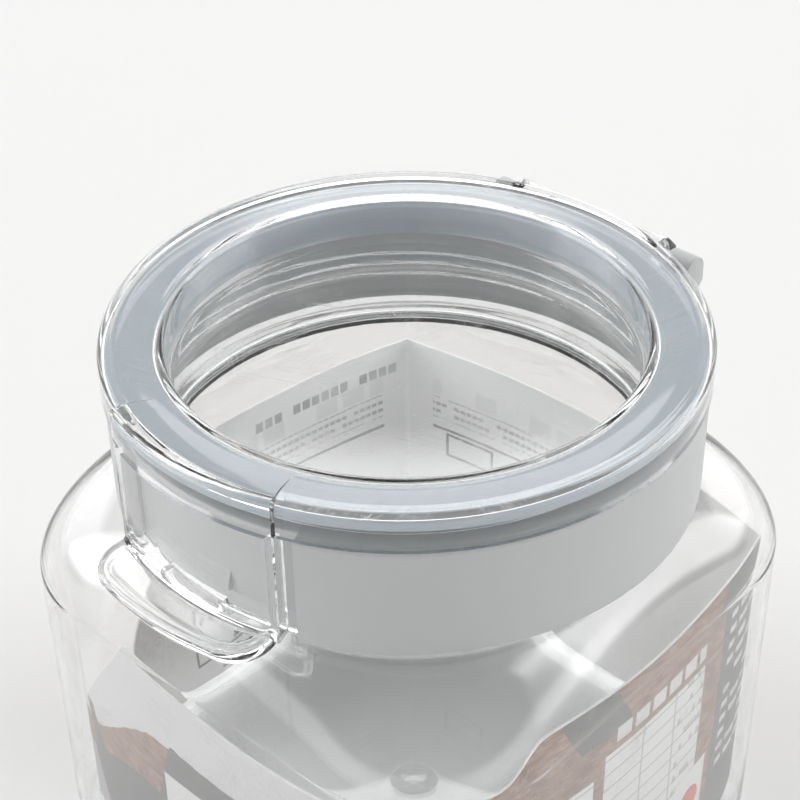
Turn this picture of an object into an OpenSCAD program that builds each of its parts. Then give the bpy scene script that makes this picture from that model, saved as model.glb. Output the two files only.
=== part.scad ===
// Flip-lid canister for rice and dry food: a clear square jar with a round neck, a screw-on
// collar, and a clear hinged lid with a soft seal. Millimetres, +Z up, origin at the middle
// of the base, thumb tab towards -Y and hinge towards +Y.

/* [Jar] */
// Width across the flat sides
jar_w = 100; // [97:1:110]
// Radius of the four upright corners
corner_r = 24; // [20:1:30]
// Height of the upright walls, up to the shoulder
side_h = 62.5; // [40:0.5:160]
// Rise of the shoulder, from the walls to the neck
shoulder_h = 15.5; // [13:0.5:24]
// Fullness of the shoulder: 1 is a straight slope, 2 is an ellipse
shoulder_full = 1.6; // [1.3:0.1:2.2]
// Wall thickness of the jar
jar_t = 1.2; // [0.9:0.1:1.8]
// Thickness of the jar's floor
floor_t = 2; // [1.4:0.1:3]
// Radius of the edge between floor and walls
foot_r = 4; // [2.5:0.5:7]
// Radius of the round moulding mark in the middle of the floor
gate_r = 4.7; // [3:0.1:6]
// Height of that mark
gate_h = 1.1; // [0.6:0.1:1.6]

/* [Neck] */
// Outer radius of the neck
neck_r = 41; // [38:0.5:42]
// Wall thickness of the neck
neck_t = 1.3; // [1.1:0.1:1.6]
// Height of the neck above the shoulder
neck_h = 24.4; // [23:0.2:30]
// How far the stop bead stands out of the neck
bead_out = 2.9; // [2.3:0.1:3.4]
// Height of the stop bead
bead_h = 1.6; // [1:0.1:2.2]

/* [Lid] */
// Wall thickness of the lid
lid_t = 1.6; // [1.2:0.1:2]
// How far the lid's rim stands outside the collar
lid_over = 0.4; // [0:0.1:0.8]
// Depth of the sunken window below the flange
well_depth = 7.3; // [5:0.1:11]
// Rise of the flange's top from the well out to the rim
flange_rise = 0.6; // [0.3:0.1:1]
// Radius of the round edge where the flange turns into the well
well_edge = 2.1; // [2.1:0.1:2.6]
// Radius of the hollow edge between the well's wall and its floor
well_round = 1.2; // [0.8:0.1:2]
// Drop of the rim below the top of the flange
rim_drop = 6.2; // [5:0.1:7]

/* [Tab] */
// Width of the thumb tab, in degrees round the lid
tab_angle = 39.2; // [34:0.2:42]
// Thickness of the tab's plate
tab_t = 1.3; // [1.1:0.1:2.2]
// Drop of the tab below the top of the flange
tab_drop = 24.8; // [22:0.2:25.4]
// How far in from the rim the raised top of the tab starts
ramp_in = 6; // [4:0.5:7]
// Rise of the tab's top above the rim
ramp_rise = 0.5; // [0.2:0.1:0.8]
// Width of the stiffening ribs at the tab's sides
tab_rib = 1.5; // [1.1:0.1:2]
// Height of the ledge that hooks under the collar's catch
ledge_h = 2.2; // [1:0.1:3]
// Height of the ledge above the tab's lower edge
ledge_up = 0.5; // [0.3:0.1:3]
// Width of the ledge and of the catch, in degrees
ledge_angle = 14.6; // [10:0.2:30]

/* [Finger lip] */
// How far the lip stands out of the tab
lip_out = 7; // [5:0.2:10]
// Thickness of the lip
lip_t = 1.5; // [1.2:0.1:2]
// Drop of the lip from the tab to its edge
lip_fall = 0.4; // [0.2:0.1:2]
// Height of the lip's top, where it leaves the tab, above the tab's lower edge
lip_up = 1.6; // [1.5:0.1:4]
// Radius of the lip's corners
lip_corner = 6.5; // [4:0.5:8]
// Height of the bead round the lip
lip_bead = 0.7; // [0.4:0.1:1.6]
// Width of the bead round the lip
lip_bead_w = 2; // [1.1:0.1:2.4]

/* [Collar] */
// How far the collar's skin stands outside the neck
collar_out = 5.6; // [5.4:0.1:7]
// Height of the collar
collar_h = 18.6; // [17:0.2:19.6]
// Thickness of the collar's outer skin and deck
skin_t = 1.6; // [1.2:0.1:2]
// Radius of the round edge at the top of the collar
collar_round = 0.8; // [0.5:0.1:1.2]
// Thickness of the threaded sleeve inside the collar
sleeve_t = 1.3; // [1.1:0.1:1.7]
// Height of the sleeve's lower edge above the collar's, away from the pocket
sleeve_up = 3; // [1:0.2:5]
// Room for the thread between neck and sleeve
thread_room = 1.4; // [1:0.1:1.8]
// Width of the pocket behind the tab, in degrees
pocket_angle = 44.6; // [44:0.2:52]
// Thickness of the pocket's side walls
pocket_wall = 1.2; // [0.9:0.1:1.6]
// Ribs between skin and sleeve
rib_count = 16; // [8:1:24]
// Thickness of those ribs
rib_t = 1; // [0.8:0.1:1.4]
// How far the catch stands out of the sleeve
catch_out = 0.9; // [0.6:0.1:1.2]
// Height of the catch
catch_h = 1.4; // [1:0.1:2]
// Free height between the catch and the tab's ledge
catch_free = 0.8; // [0.5:0.1:1.4]

/* [Hinge] */
// Radius of the lid's hinge pins
pin_r = 1.3; // [1:0.1:1.6]
// Radius of the hinge barrel
barrel_r = 2.6; // [2.2:0.1:3]
// Width of the lid's knuckle
knuckle_w = 30.6; // [26:0.2:34]
// Width of each of the collar's hinge lugs
lug_w = 4.8; // [4:0.2:10]
// Height of a lug's foot below the hinge axis
lug_drop = 12; // [8:0.5:15]
// Length of each hinge pin inside its lug
pin_l = 3.4; // [2.4:0.2:5]
// How far the hinge axis lies outside the lid's rim
hinge_out = 0.5; // [0.3:0.1:1]
// Height of the hinge axis above the bottom of the rim
hinge_up = 0.7; // [0.4:0.1:1.2]

/* [Seal] */
// Thickness of the seal's flange
seal_t = 1.3; // [0.9:0.1:1.8]
// Thickness of the seal's sleeve round the well
seal_sleeve_t = 0.7; // [0.5:0.1:1]
// Bevel that clears the round corners under the lid
seal_bevel = 0.7; // [0.6:0.1:0.9]
// How far each sealing lip stands out of that sleeve
seal_lip_out = 0.3; // [0.2:0.05:0.5]
// Height of each sealing lip
seal_lip_h = 1; // [0.6:0.1:1.4]
// Height from one sealing lip to the next
seal_lip_step = 2.2; // [1.8:0.1:2.6]

/* [Card] */
// Thickness of the folded paper card inside the jar
card_t = 0.4; // [0.3:0.05:0.6]
// Gap from the top of the card to the shoulder
card_top_gap = 1; // [0.5:0.5:10]
// Where the card's edge lies on the front side, left of the middle
card_front_edge = 40; // [30:0.5:41]
// Where the card's edge lies on the left side, in front of the middle
card_side_edge = 41; // [30:0.5:41]
// Height of the slanted cut at the card's front edge
card_slant = 34; // [20:1:40]
// Width of that cut
card_slant_w = 20; // [10:1:24]
// Width of the slanted cut at the card's side edge
card_side_slant_w = 35; // [20:1:37]
// Drop of the card's front side at the end of the slanted cut
card_drop = 6.2; // [1:0.1:8]
// Drop of the card's front side at its right corner
card_corner_drop = 7; // [1:0.5:14]
// Where the card's right side is back at its full height, in front of the middle
card_rise_at = 17.5; // [10:0.5:24]
// How far the card has turned in the jar, clockwise from above, in degrees
card_turn = 2.8; // [0:0.2:3]
// Width of the rise to the full height
card_rise_w = 8; // [4:0.5:12]

/* [Fits] */
// Gap between faces that turn in or rest on each other
running_gap = 0.06; // [0.03:0.01:0.1]
// Gap between the seal's lips and the neck
seal_gap = 0.12; // [0.08:0.02:0.2]
// Gap between the lid and the collar
part_gap = 0.3; // [0.25:0.05:0.5]
// Room round the hinge knuckle
knuckle_gap = 0.5; // [0.3:0.1:0.8]
// Room between the paper card and the jar's wall
card_gap = 2; // [1:0.1:3]
// Room between the card's folded corners and the jar's corners
card_room = 0.9; // [0.6:0.1:1.5]

/* [Hidden] */
$fn = 96;

// Jar
half_w = jar_w / 2;
neck_in = neck_r - neck_t;
neck_root = side_h + shoulder_h;
neck_top = neck_root + neck_h;
slice_points = 80;
shoulder_slices = 8;
foot_slices = 4;
neck_sink = 2.5;

// Stack of seal, lid and collar on the neck
collar_r = neck_r + collar_out;
lid_r = collar_r + lid_over;
flange_low = neck_top + running_gap + seal_t;
flange_top = flange_low + lid_t;
rim_top = flange_top + flange_rise;
rim_round = lid_t + flange_rise;
lid_low = flange_top - rim_drop;
collar_top = lid_low - part_gap;
collar_low = collar_top - collar_h;
deck_low = collar_top - skin_t;
bead_top = collar_low - running_gap;
bead_r = neck_r + bead_out;

// Well and seal, from the neck inwards
seal_out = neck_in - seal_gap - seal_lip_out;
seal_in = seal_out - seal_sleeve_t;
well_r = seal_in - running_gap - lid_t;
well_floor = flange_top - well_depth;
seal_low = well_floor - 0.2;

// Collar
sleeve_in = neck_r + thread_room;
sleeve_out = sleeve_in + sleeve_t;
sleeve_low = collar_low + sleeve_up;
catch_r = sleeve_out + catch_out;
overlap = 0.2;
rib_up = 2;

// Tab
tab_in = max(lid_r - 0.1, collar_r + part_gap);
tab_r = tab_in + tab_t;
tab_low = flange_top - tab_drop;
ledge_low = tab_low + ledge_up;
ledge_top = ledge_low + ledge_h;
catch_low = ledge_top + catch_free;
lip_r = tab_r + lip_out;
lip_turn = tab_angle / 2 - asin(lip_corner / (lip_r - lip_corner));

// Hinge
hinge_y = lid_r + hinge_out;
hinge_z = lid_low + hinge_up;
lug_x = knuckle_w / 2 + knuckle_gap;
lug_end = lug_x + lug_w;
web_in = 6;
lug_foot = sqrt(collar_r * collar_r - lug_end * lug_end) - skin_t / 2;

// Card
card_half = half_w - jar_t - card_gap;
card_fold = half_w - corner_r + (corner_r - jar_t - card_room) / sqrt(2);
card_bow = (2 * card_fold * card_fold - card_half * card_half) / (2 * (card_half - card_fold));
card_in = card_half - card_fold + 3;
card_slant_end = card_slant_w - card_front_edge;
card_side_end = card_side_slant_w - card_side_edge;
card_low = floor_t + foot_r / 2;
card_top = side_h - card_top_gap;

// Angle from the nearest flat side, 0 to 45
function from_side(t) = abs((t + 45) % 90 - 45);

// Distance from the middle to the edge of a rounded square, in direction t
function square_reach(t, half, r) =
    let (u = from_side(t), k = half - r, b = k * (cos(u) + sin(u)))
    half * tan(u) <= k ? half / cos(u) : b + sqrt(b * b - 2 * k * k + r * r);

// Level outline at height z, part way from a circle (share 0) to a rounded square (share 1)
function outline(z, share, half, r, round_r) = [
    for (i = [0 : slice_points - 1])
        let (t = i * 360 / slice_points, s = round_r + share * (square_reach(t, half, r) - round_r))
        [s * cos(t), s * sin(t), z]
];

// The jar's outlines from the foot to the neck's root, set in from the outside by a wall t
function jar_outlines(t, low, edge_r, round_r) = let (half = half_w - t, r = corner_r - t) concat(
    [for (i = [0 : foot_slices])
        let (a = 90 * i / foot_slices, inset = edge_r * (1 - sin(a)))
        outline(low + edge_r * (1 - cos(a)), 1, half - inset, r - inset, round_r)],
    [for (i = [0 : shoulder_slices])
        let (a = 90 * i / shoulder_slices, rise = (shoulder_h - t) * pow(sin(a), 2 / shoulder_full))
        outline(side_h + rise, pow(cos(a), 2 / shoulder_full), half, r, round_r)]
);

// Solid through a pile of level outlines with the same number of points
module pile(outlines) hull() {
    n = len(outlines[0]);
    last = len(outlines) - 1;
    polyhedron(
        points = [for (o = outlines) each o],
        faces = concat(
            [[for (i = [0 : n - 1]) i]],
            [for (j = [0 : last - 1], i = [0 : n - 1], half = [0, 1])
                let (k = (i + 1) % n, a = j * n + i, b = a + n, c = (j + 1) * n + k, d = j * n + k)
                half == 0 ? [a, b, c] : [a, c, d]],
            [[for (i = [n - 1 : -1 : 0]) last * n + i]]
        )
    );
}

// The neck's wall with its round top and its stop bead, in the radius and height plane
module neck_section() {
    translate([neck_in, neck_root - neck_sink]) square([neck_t, neck_h + neck_sink - neck_t / 2]);
    translate([neck_in + neck_t / 2, neck_top - neck_t / 2]) circle(neck_t / 2, $fn = 32);
    translate([neck_in, bead_top - bead_h]) square([neck_t + bead_out - bead_h / 2, bead_h]);
    translate([bead_r - bead_h / 2, bead_top - bead_h / 2]) circle(bead_h / 2, $fn = 32);
}

module jar() color([0.93, 0.94, 0.94, 0.35]) {
    difference() {
        union() {
            pile(jar_outlines(0, 0, foot_r, neck_in + neck_t / 2));
            rotate_extrude() neck_section();
        }
        pile(jar_outlines(jar_t, floor_t, foot_r - jar_t, neck_in - neck_t / 2));
        translate([0, 0, neck_root - neck_sink - 1]) cylinder(r = neck_in, h = neck_h + neck_sink + 2);
    }
    gate_mark();
}

// Low round dome left on the floor by the moulding gate
module gate_mark() {
    ball_r = (gate_r * gate_r + gate_h * gate_h) / (2 * gate_h);
    rotate_extrude() intersection() {
        translate([0, floor_t + gate_h - ball_r]) circle(ball_r);
        translate([0, floor_t / 2]) square([gate_r + 1, floor_t + gate_h]);
    }
}

// Wedge of the given angle that opens towards -Y
module front_wedge(angle, low, high) {
    reach = 2 * lip_r;
    translate([0, 0, low]) linear_extrude(high - low)
        polygon([[0, 0], [-reach * sin(angle / 2), -reach * cos(angle / 2)],
                 [reach * sin(angle / 2), -reach * cos(angle / 2)]]);
}

// Ring between two radii
module ring(r_in, r_out, low, high) {
    translate([0, 0, low]) difference() {
        cylinder(r = r_out, h = high - low);
        translate([0, 0, -1]) cylinder(r = r_in, h = high - low + 2);
    }
}

// Thin upright wall along a radius, turned from the front by turn degrees
module radial_wall(turn, r_in, r_out, low, high, t) {
    rotate([0, 0, turn]) translate([-t / 2, -r_out, low]) cube([t, r_out - r_in, high - low]);
}

module collar_section() {
    translate([collar_r - skin_t, collar_low]) square([skin_t, collar_h - collar_round]);
    deck_in = neck_r + running_gap;
    translate([deck_in, deck_low]) square([collar_r - collar_round - deck_in, skin_t]);
    translate([collar_r - collar_round, collar_top - collar_round]) circle(collar_round, $fn = 32);
    translate([sleeve_in, sleeve_low]) square([sleeve_t, deck_low + overlap - sleeve_low]);
}

// Side view of a hinge lug in the Y and Z plane, down to its foot on the collar
module lug_section() {
    translate([hinge_y, hinge_z]) circle(barrel_r);
    back = hinge_y + barrel_r;
    polygon([[hinge_y - barrel_r, hinge_z], [back, hinge_z], [back, hinge_z - barrel_r],
             [lug_foot, hinge_z - lug_drop], [lug_foot - 2 * skin_t, hinge_z - lug_drop],
             [lug_foot - 2 * skin_t, deck_low], [hinge_y - barrel_r, deck_low]]);
}

// Turns a drawing in the Y and Z plane into a solid between two places along X
module along_x(low, high) translate([low, 0, 0]) rotate([90, 0, 90]) linear_extrude(high - low) children();

module hinge_lugs() {
    for (side = [0, 1]) mirror([side, 0, 0]) difference() {
        along_x(lug_x, lug_end) lug_section();
        translate([0, 0, collar_low]) cylinder(r = collar_r - skin_t / 2, h = collar_h);
        along_x(lug_x - 1, lug_x + pin_l + part_gap)
            translate([hinge_y, hinge_z]) circle(pin_r + running_gap);
    }
}

module collar() color([0.80, 0.81, 0.81]) {
    pocket_half = pocket_angle / 2;
    wall_turn = pocket_half + asin(pocket_wall / 2 / sleeve_out);
    notch_half = asin(lug_x / collar_r);
    difference() {
        union() {
            difference() {
                rotate_extrude() collar_section();
                difference() {
                    front_wedge(pocket_angle, collar_low - 1, collar_top + 1);
                    translate([0, 0, collar_low - 2]) cylinder(r = sleeve_out, h = collar_h + 4);
                }
            }
            intersection() {
                ring(sleeve_in, sleeve_out, collar_low, deck_low + overlap);
                front_wedge(pocket_angle + 2, collar_low - 1, deck_low);
            }
            for (side = [-1, 1])
                radial_wall(side * wall_turn, sleeve_out - overlap, collar_r - overlap,
                            collar_low, deck_low + overlap, pocket_wall);
            for (i = [0 : rib_count - 1]) {
                turn = wall_turn + (i + 0.5) * (360 - 2 * wall_turn) / rib_count;
                if (abs(turn - 180) > notch_half)
                    radial_wall(turn, sleeve_out - overlap, collar_r - skin_t + overlap,
                                sleeve_low + rib_up, deck_low + overlap, rib_t);
            }
            intersection() {
                ring(sleeve_out - overlap, catch_r, catch_low, catch_low + catch_h);
                front_wedge(ledge_angle, collar_low, collar_top);
            }
            hinge_lugs();
        }
        translate([-lug_x, hinge_y - barrel_r - knuckle_gap, hinge_z - barrel_r - knuckle_gap])
            cube([2 * lug_x, 4 * barrel_r, 6 * barrel_r]);
    }
}

// Quarter of a round bend in a wall of thickness t, r its outer radius
module bend(r, t, turn) rotate(turn) intersection() {
    difference() {
        circle(r, $fn = 48);
        if (r > t) circle(r - t, $fn = 48);
    }
    square(r + 1);
}

module lid_section() {
    floor_low = well_floor - lid_t;
    translate([0, floor_low]) square([well_r - well_round, lid_t]);
    translate([well_r - well_round, well_floor + well_round]) bend(well_round + lid_t, lid_t, -90);
    translate([well_r, well_floor + well_round]) square([lid_t, well_depth - well_round - well_edge]);
    translate([well_r + well_edge, flange_top - well_edge]) bend(well_edge, lid_t, 90);
    polygon([[well_r + well_edge, flange_low], [lid_r - rim_round, flange_low],
             [lid_r - rim_round, rim_top], [well_r + well_edge, flange_top]]);
    translate([lid_r - rim_round, flange_low]) bend(rim_round, rim_round, 0);
    translate([lid_r - lid_t, lid_low]) square([lid_t, flange_low - lid_low]);
}

// The tab's upright plate and its ramp on top of the lid
module tab_section() {
    top = rim_top + ramp_rise;
    ramp_foot = lid_r - ramp_in;
    translate([tab_in, tab_low]) square([tab_t, tab_drop]);
    translate([lid_r - lid_t / 2, lid_low]) square([tab_in - lid_r + lid_t / 2 + 0.1, rim_drop]);
    polygon([[ramp_foot, flange_top], [tab_r - 0.5, top], [tab_r, top - 0.5], [tab_r, lid_low],
             [lid_r - 0.4, lid_low], [lid_r - 0.4, flange_low], [ramp_foot, flange_top - 0.5]]);
}

module tab() {
    ledge_in = catch_r + part_gap;
    intersection() {
        rotate_extrude() tab_section();
        front_wedge(tab_angle, tab_low - 1, flange_top + 2);
    }
    intersection() {
        ring(ledge_in, tab_in + 0.1, ledge_low, ledge_top);
        front_wedge(ledge_angle, tab_low, collar_top);
    }
    rib_turn = tab_angle / 2 - asin(tab_rib / 2 / tab_r);
    for (side = [-1, 1]) intersection() {
        ring(ledge_in, tab_in + 0.2, tab_low, lid_low + 0.2);
        radial_wall(side * rib_turn, ledge_in - 2, tab_r, tab_low, lid_low + 0.2, tab_rib);
    }
}

// Outline of the finger lip from above, set in by the given amount
module lip_outline(inset) hull() {
    for (a = [-1 : 0.25 : 1]) rotate(a * lip_turn)
        translate([0, lip_corner - lip_r]) circle(lip_corner - inset, $fn = 32);
    for (a = [-1, 1]) rotate(a * lip_turn)
        translate([0, 2 * lip_corner - tab_r]) circle(lip_corner - inset, $fn = 32);
}

// Sloping shell that the lip is cut from, extra higher than the plain plate
module lip_slope(extra) {
    z_in = tab_low + lip_up;
    z_out = z_in - lip_fall;
    rotate_extrude() polygon([[tab_in, z_in - lip_t], [lip_r, z_out - lip_t],
                              [lip_r, z_out + extra], [tab_in, z_in + extra]]);
}

module finger_lip() {
    low = tab_low - 2 * lip_t;
    high = tab_low + 3 * lip_up;
    intersection() {
        lip_slope(0);
        translate([0, 0, low]) linear_extrude(high - low) lip_outline(0);
    }
    intersection() {
        lip_slope(lip_bead);
        translate([0, 0, low]) linear_extrude(high - low) difference() {
            lip_outline(0);
            lip_outline(lip_bead_w);
        }
    }
}

// Side view of the web between the lid's rim and its hinge barrel
module knuckle_section() {
    translate([hinge_y, hinge_z]) circle(barrel_r);
    polygon([[lid_r - web_in, hinge_z], [hinge_y + barrel_r, hinge_z],
             [hinge_y + barrel_r - 0.5, hinge_z + barrel_r - 0.4], [lid_r + 0.3, flange_top - 0.9],
             [lid_r - 1.1, flange_top - 0.2], [lid_r - web_in, flange_top - 0.2]]);
}

module lid() color([0.93, 0.95, 0.96, 0.35]) {
    rotate_extrude() lid_section();
    tab();
    finger_lip();
    difference() {
        along_x(-knuckle_w / 2, knuckle_w / 2) knuckle_section();
        translate([0, 0, lid_low - 2 * barrel_r])
            cylinder(r = lid_r - lid_t / 2, h = rim_drop + 4 * barrel_r);
    }
    for (side = [0, 1]) mirror([side, 0, 0])
        along_x(knuckle_w / 2 - 1, lug_x + pin_l) translate([hinge_y, hinge_z]) circle(pin_r);
}

// Seal: a flat ring under the flange and a sleeve with two lips round the well
module seal() color([0.66, 0.71, 0.75]) {
    rim = lid_r - lid_t - running_gap;
    lips = [for (i = [1, 0], k = [1, 0, -1])
        [seal_out + (k == 0 ? seal_lip_out : 0),
         seal_low + seal_lip_h + i * seal_lip_step + k * seal_lip_h / 2]];
    rotate_extrude() polygon(concat(
        [[seal_in + seal_bevel, flange_low], [rim - seal_bevel, flange_low], [rim, flange_low - seal_bevel],
         [rim, flange_low - seal_t], [seal_out, flange_low - seal_t]],
        lips,
        [[seal_out, seal_low], [seal_in, seal_low], [seal_in, flange_low - seal_bevel]]));
}

// Square with sides that bow out, for paper folded at the corners and pressed to a jar's walls
module bowed_square(half) {
    intersection() {
        translate([card_bow, 0]) circle(half + card_bow, $fn = 360);
        translate([-card_bow, 0]) circle(half + card_bow, $fn = 360);
        translate([0, card_bow]) circle(half + card_bow, $fn = 360);
        translate([0, -card_bow]) circle(half + card_bow, $fn = 360);
    }
}

// Paper card folded round three and a half sides of the jar's inside, open at one corner
module info_card() color([0.80, 0.80, 0.81]) {
    rotate(-card_turn) difference() {
        translate([0, 0, card_low]) linear_extrude(card_top - card_low) difference() {
            bowed_square(card_half);
            bowed_square(card_half - card_t);
            translate([-jar_w - card_front_edge, -jar_w - card_side_edge]) square(jar_w);
        }
        translate([0, card_in - card_half, card_top]) rotate([90, 0, 0]) linear_extrude(card_in + card_gap)
            polygon([[-card_front_edge - card_slant_w, card_drop - 2 * card_slant],
                     [-card_front_edge, -card_slant], [card_slant_end, -card_drop],
                     [card_half, -card_corner_drop], [card_half, 1],
                     [-card_front_edge - card_slant_w, 1]]);
        translate([card_half - card_in, 0, card_top]) rotate([90, 0, 90]) linear_extrude(card_in + card_gap)
            polygon([[-card_half, -card_corner_drop], [-card_rise_at - card_rise_w, -card_corner_drop],
                     [-card_rise_at, 0], [-card_rise_at, 1], [-card_half, 1]]);
        translate([-card_half - card_gap, 0, card_top]) rotate([90, 0, 90])
            linear_extrude(card_in + card_gap)
            polygon([[-card_side_edge, card_low + 1 - card_top], [card_side_end, 0],
                     [card_side_end, 1], [-card_half, 1], [-card_half, card_low - card_top]]);
    }
}

jar();
collar();
lid();
seal();
info_card();
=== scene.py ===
"""Dressed model of the flip-lid canister: clear jar, screw collar, hinged lid, seal and paper card."""

import logging
import math
from dataclasses import dataclass
from enum import Enum
from typing import Sequence

import bmesh
import bpy
import numpy as np
from mathutils import Matrix, Vector
from mathutils.geometry import intersect_point_line

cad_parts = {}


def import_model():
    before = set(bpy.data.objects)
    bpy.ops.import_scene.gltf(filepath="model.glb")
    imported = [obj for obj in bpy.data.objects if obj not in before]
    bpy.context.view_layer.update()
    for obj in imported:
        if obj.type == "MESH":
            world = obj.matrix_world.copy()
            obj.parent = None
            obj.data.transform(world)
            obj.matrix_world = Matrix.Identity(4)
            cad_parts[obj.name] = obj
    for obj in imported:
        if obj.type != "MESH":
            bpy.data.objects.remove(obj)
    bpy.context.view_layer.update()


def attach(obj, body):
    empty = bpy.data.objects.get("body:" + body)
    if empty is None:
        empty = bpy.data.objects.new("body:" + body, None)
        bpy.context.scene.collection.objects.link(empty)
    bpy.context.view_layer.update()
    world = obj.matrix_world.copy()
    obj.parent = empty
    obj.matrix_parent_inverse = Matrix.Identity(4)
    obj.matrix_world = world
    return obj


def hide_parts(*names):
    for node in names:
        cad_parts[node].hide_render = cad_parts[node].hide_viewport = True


LOG = logging.getLogger("canister")
MM = 0.001  # metres
SHORTEST = 1e-6  # shortest length that counts, in millimetres or degrees
FLATTEST = 1e-3  # smallest bend that gets an arc, in radians
ARC_SHARE = 0.98  # most of a side that an arc takes up
SAME_SPOT = 1e-5  # millimetres between points that count as one
WELD_STEPS = 2e4  # steps to the millimetre when a skin is welded
SCRATCH_TURNS = (0.35, 1.27, 2.2, 2.9)  # directions of the scratches, in radians
SCRATCH_AXIS = (0.2, 0.3, 0.93)  # axis that they turn about
SCRATCH_STRETCH = (1.0, 0.035, 0.3)  # how the noise is stretched into lines
SCRATCH_FIELDS = 0.03  # scale of the scratched fields against that of the lines
SCRATCH_WIDTH = 0.0035  # share of the noise that makes a line
# Places across the thumb lip, inwards, as shares of its reach
LIP_SHARES = (
    0.0, 0.01, 0.025, 0.05, 0.08, 0.115, 0.155, 0.2, 0.25, 0.3, 0.35, 0.42, 0.5, 0.6, 0.7, 0.8, 0.9,
)
WINDOW_RINGS = (8, 16, 24, 30, 34)  # radii of the rings in the lid's window
TAB_ROWS = (103.0, 100.0, 97.0, 93.0, 89.0)  # heights of the rows on the thumb tab's face
RIM_ROWS = (103.0, 102.0, 101.2, 100.6, 100.1)  # heights of the rows on the lid's rim
ROUND_FROM = 40  # degrees from which an edge of an extruded part is rounded
SHARP_FROM = 50  # degrees from which an edge of it is left sharp
DASH_LONG = 0.78  # share of its step that a printed dash fills
DASH_HIGH = 0.42  # share of its row that a printed dash fills
Colour = tuple[float, float, float]
Points = np.ndarray


class Body(str, Enum):
    """The bodies that pieces ride on."""

    JAR = "jar_body"
    COLLAR = "collar_body"
    LID = "lid_body"


@dataclass(frozen=True)
class Sizes:
    """Sizes in millimetres that the pieces share with the solids."""

    half: float = 50.0
    corner: float = 24.0
    side_top: float = 62.5
    shoulder_rise: float = 15.5
    fullness: float = 1.6
    wall: float = 1.2
    floor: float = 2.0
    foot: float = 4.0
    neck_out: float = 41.0
    neck_in: float = 39.7
    neck_root: float = 78.0
    neck_top: float = 102.4
    bead_r: float = 43.9
    bead_top: float = 80.2
    bead_h: float = 1.6
    collar_r: float = 46.6
    collar_low: float = 80.26
    collar_top: float = 98.86
    deck_low: float = 97.26
    skin: float = 1.6
    sleeve_in: float = 42.4
    sleeve_out: float = 43.7
    sleeve_low: float = 83.26
    lid_r: float = 47.0
    lid_wall: float = 1.6
    lid_low: float = 99.16
    flange_low: float = 103.76
    flange_top: float = 105.36
    rim_top: float = 105.96
    well_r: float = 36.92
    well_floor: float = 98.06
    tab_in: float = 46.9
    tab_r: float = 48.2
    tab_low: float = 80.56
    tab_turn: float = 19.6
    lip_r: float = 55.2
    ledge_in: float = 44.9
    ledge_low: float = 81.06
    ledge_top: float = 83.26
    ledge_turn: float = 7.3
    pocket_turn: float = 22.3
    hinge_y: float = 47.5
    hinge_z: float = 99.86
    barrel_r: float = 2.6
    knuckle_half: float = 15.3
    lug_x: float = 15.8
    lug_end: float = 20.6
    card_half: float = 46.8
    card_fold: float = 41.486
    card_bow: float = 117.8
    card_low: float = 4.0
    card_top: float = 61.5


SIZE = Sizes()


@dataclass(frozen=True)
class Corner:
    """A corner of a section, in the plane of radius and height.

    A corner with steps gives steps + 1 points, on an arc where it has a radius.
    """

    r: float
    z: float
    radius: float = 0.0
    steps: int = 0

    @property
    def at(self) -> Points:
        """The corner's own place."""
        return np.array([self.r, self.z], float)


def rounded(corners: Sequence[Corner], closed: bool = False) -> Points:
    """Lay a line of points through corners, with an arc at each round one.

    Args:
        corners: The corners in order.
        closed: True where the last corner joins the first.

    Returns:
        An array of points, one row each.
    """
    out: list[Points] = []
    count = len(corners)
    for i, corner in enumerate(corners):
        here = corner.at
        if corner.radius <= 0 or corner.steps == 0 or (not closed and i in (0, count - 1)):
            out.extend([here] * (corner.steps + 1))
            continue
        before = corners[i - 1].at - here
        after = corners[(i + 1) % count].at - here
        len_a, len_b = np.linalg.norm(before), np.linalg.norm(after)
        if min(len_a, len_b) < SHORTEST:
            out.extend([here] * (corner.steps + 1))
            continue
        a, b = before / len_a, after / len_b
        half = math.acos(float(np.clip(a @ b, -1, 1))) / 2
        if half < FLATTEST or half > math.pi / 2 - FLATTEST:
            out.extend([here] * (corner.steps + 1))
            continue
        reach = min(corner.radius / math.tan(half), ARC_SHARE * len_a, ARC_SHARE * len_b)
        radius = reach * math.tan(half)
        middle = here + (a + b) / np.linalg.norm(a + b) * radius / math.sin(half)
        start, stop = here + a * reach - middle, here + b * reach - middle
        sweep = math.atan2(start[0] * stop[1] - start[1] * stop[0], float(start @ stop))
        for k in range(corner.steps + 1):
            t = sweep * k / corner.steps
            turn = np.array([[math.cos(t), -math.sin(t)], [math.sin(t), math.cos(t)]])
            out.append(middle + turn @ start)
    return np.array(out)


def place(turn: float | Points, r: Points, z: Points) -> Points:
    """Turn radius and height into space, with turn 0 at the tab and growing towards +X.

    Args:
        turn: Angle round the neck's axis, in degrees.
        r: Radii.
        z: Heights.

    Returns:
        Points in millimetres, one row each.
    """
    t = np.radians(turn)
    return np.stack([r * np.sin(t), -r * np.cos(t), z + 0 * t], axis=-1)


def square_reach(turn: Points, half: float, corner: float) -> Points:
    """Distance from the axis to the edge of a rounded square.

    Args:
        turn: Directions, in degrees.
        half: Half the square's width.
        corner: Radius of its corners.

    Returns:
        One distance for each direction.
    """
    u = np.radians(np.abs((turn + 45) % 90 - 45))
    k = half - corner
    b = k * (np.cos(u) + np.sin(u))
    curved = b + np.sqrt(np.maximum(b * b - 2 * k * k + corner * corner, 0))
    return np.where(half * np.tan(u) <= k, half / np.cos(u), curved)


def spread(start: float, stop: float, step: float) -> Points:
    """Even stations from start to stop, no further apart than step."""
    return np.linspace(start, stop, max(2, math.ceil(abs(stop - start) / step) + 1))


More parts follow.
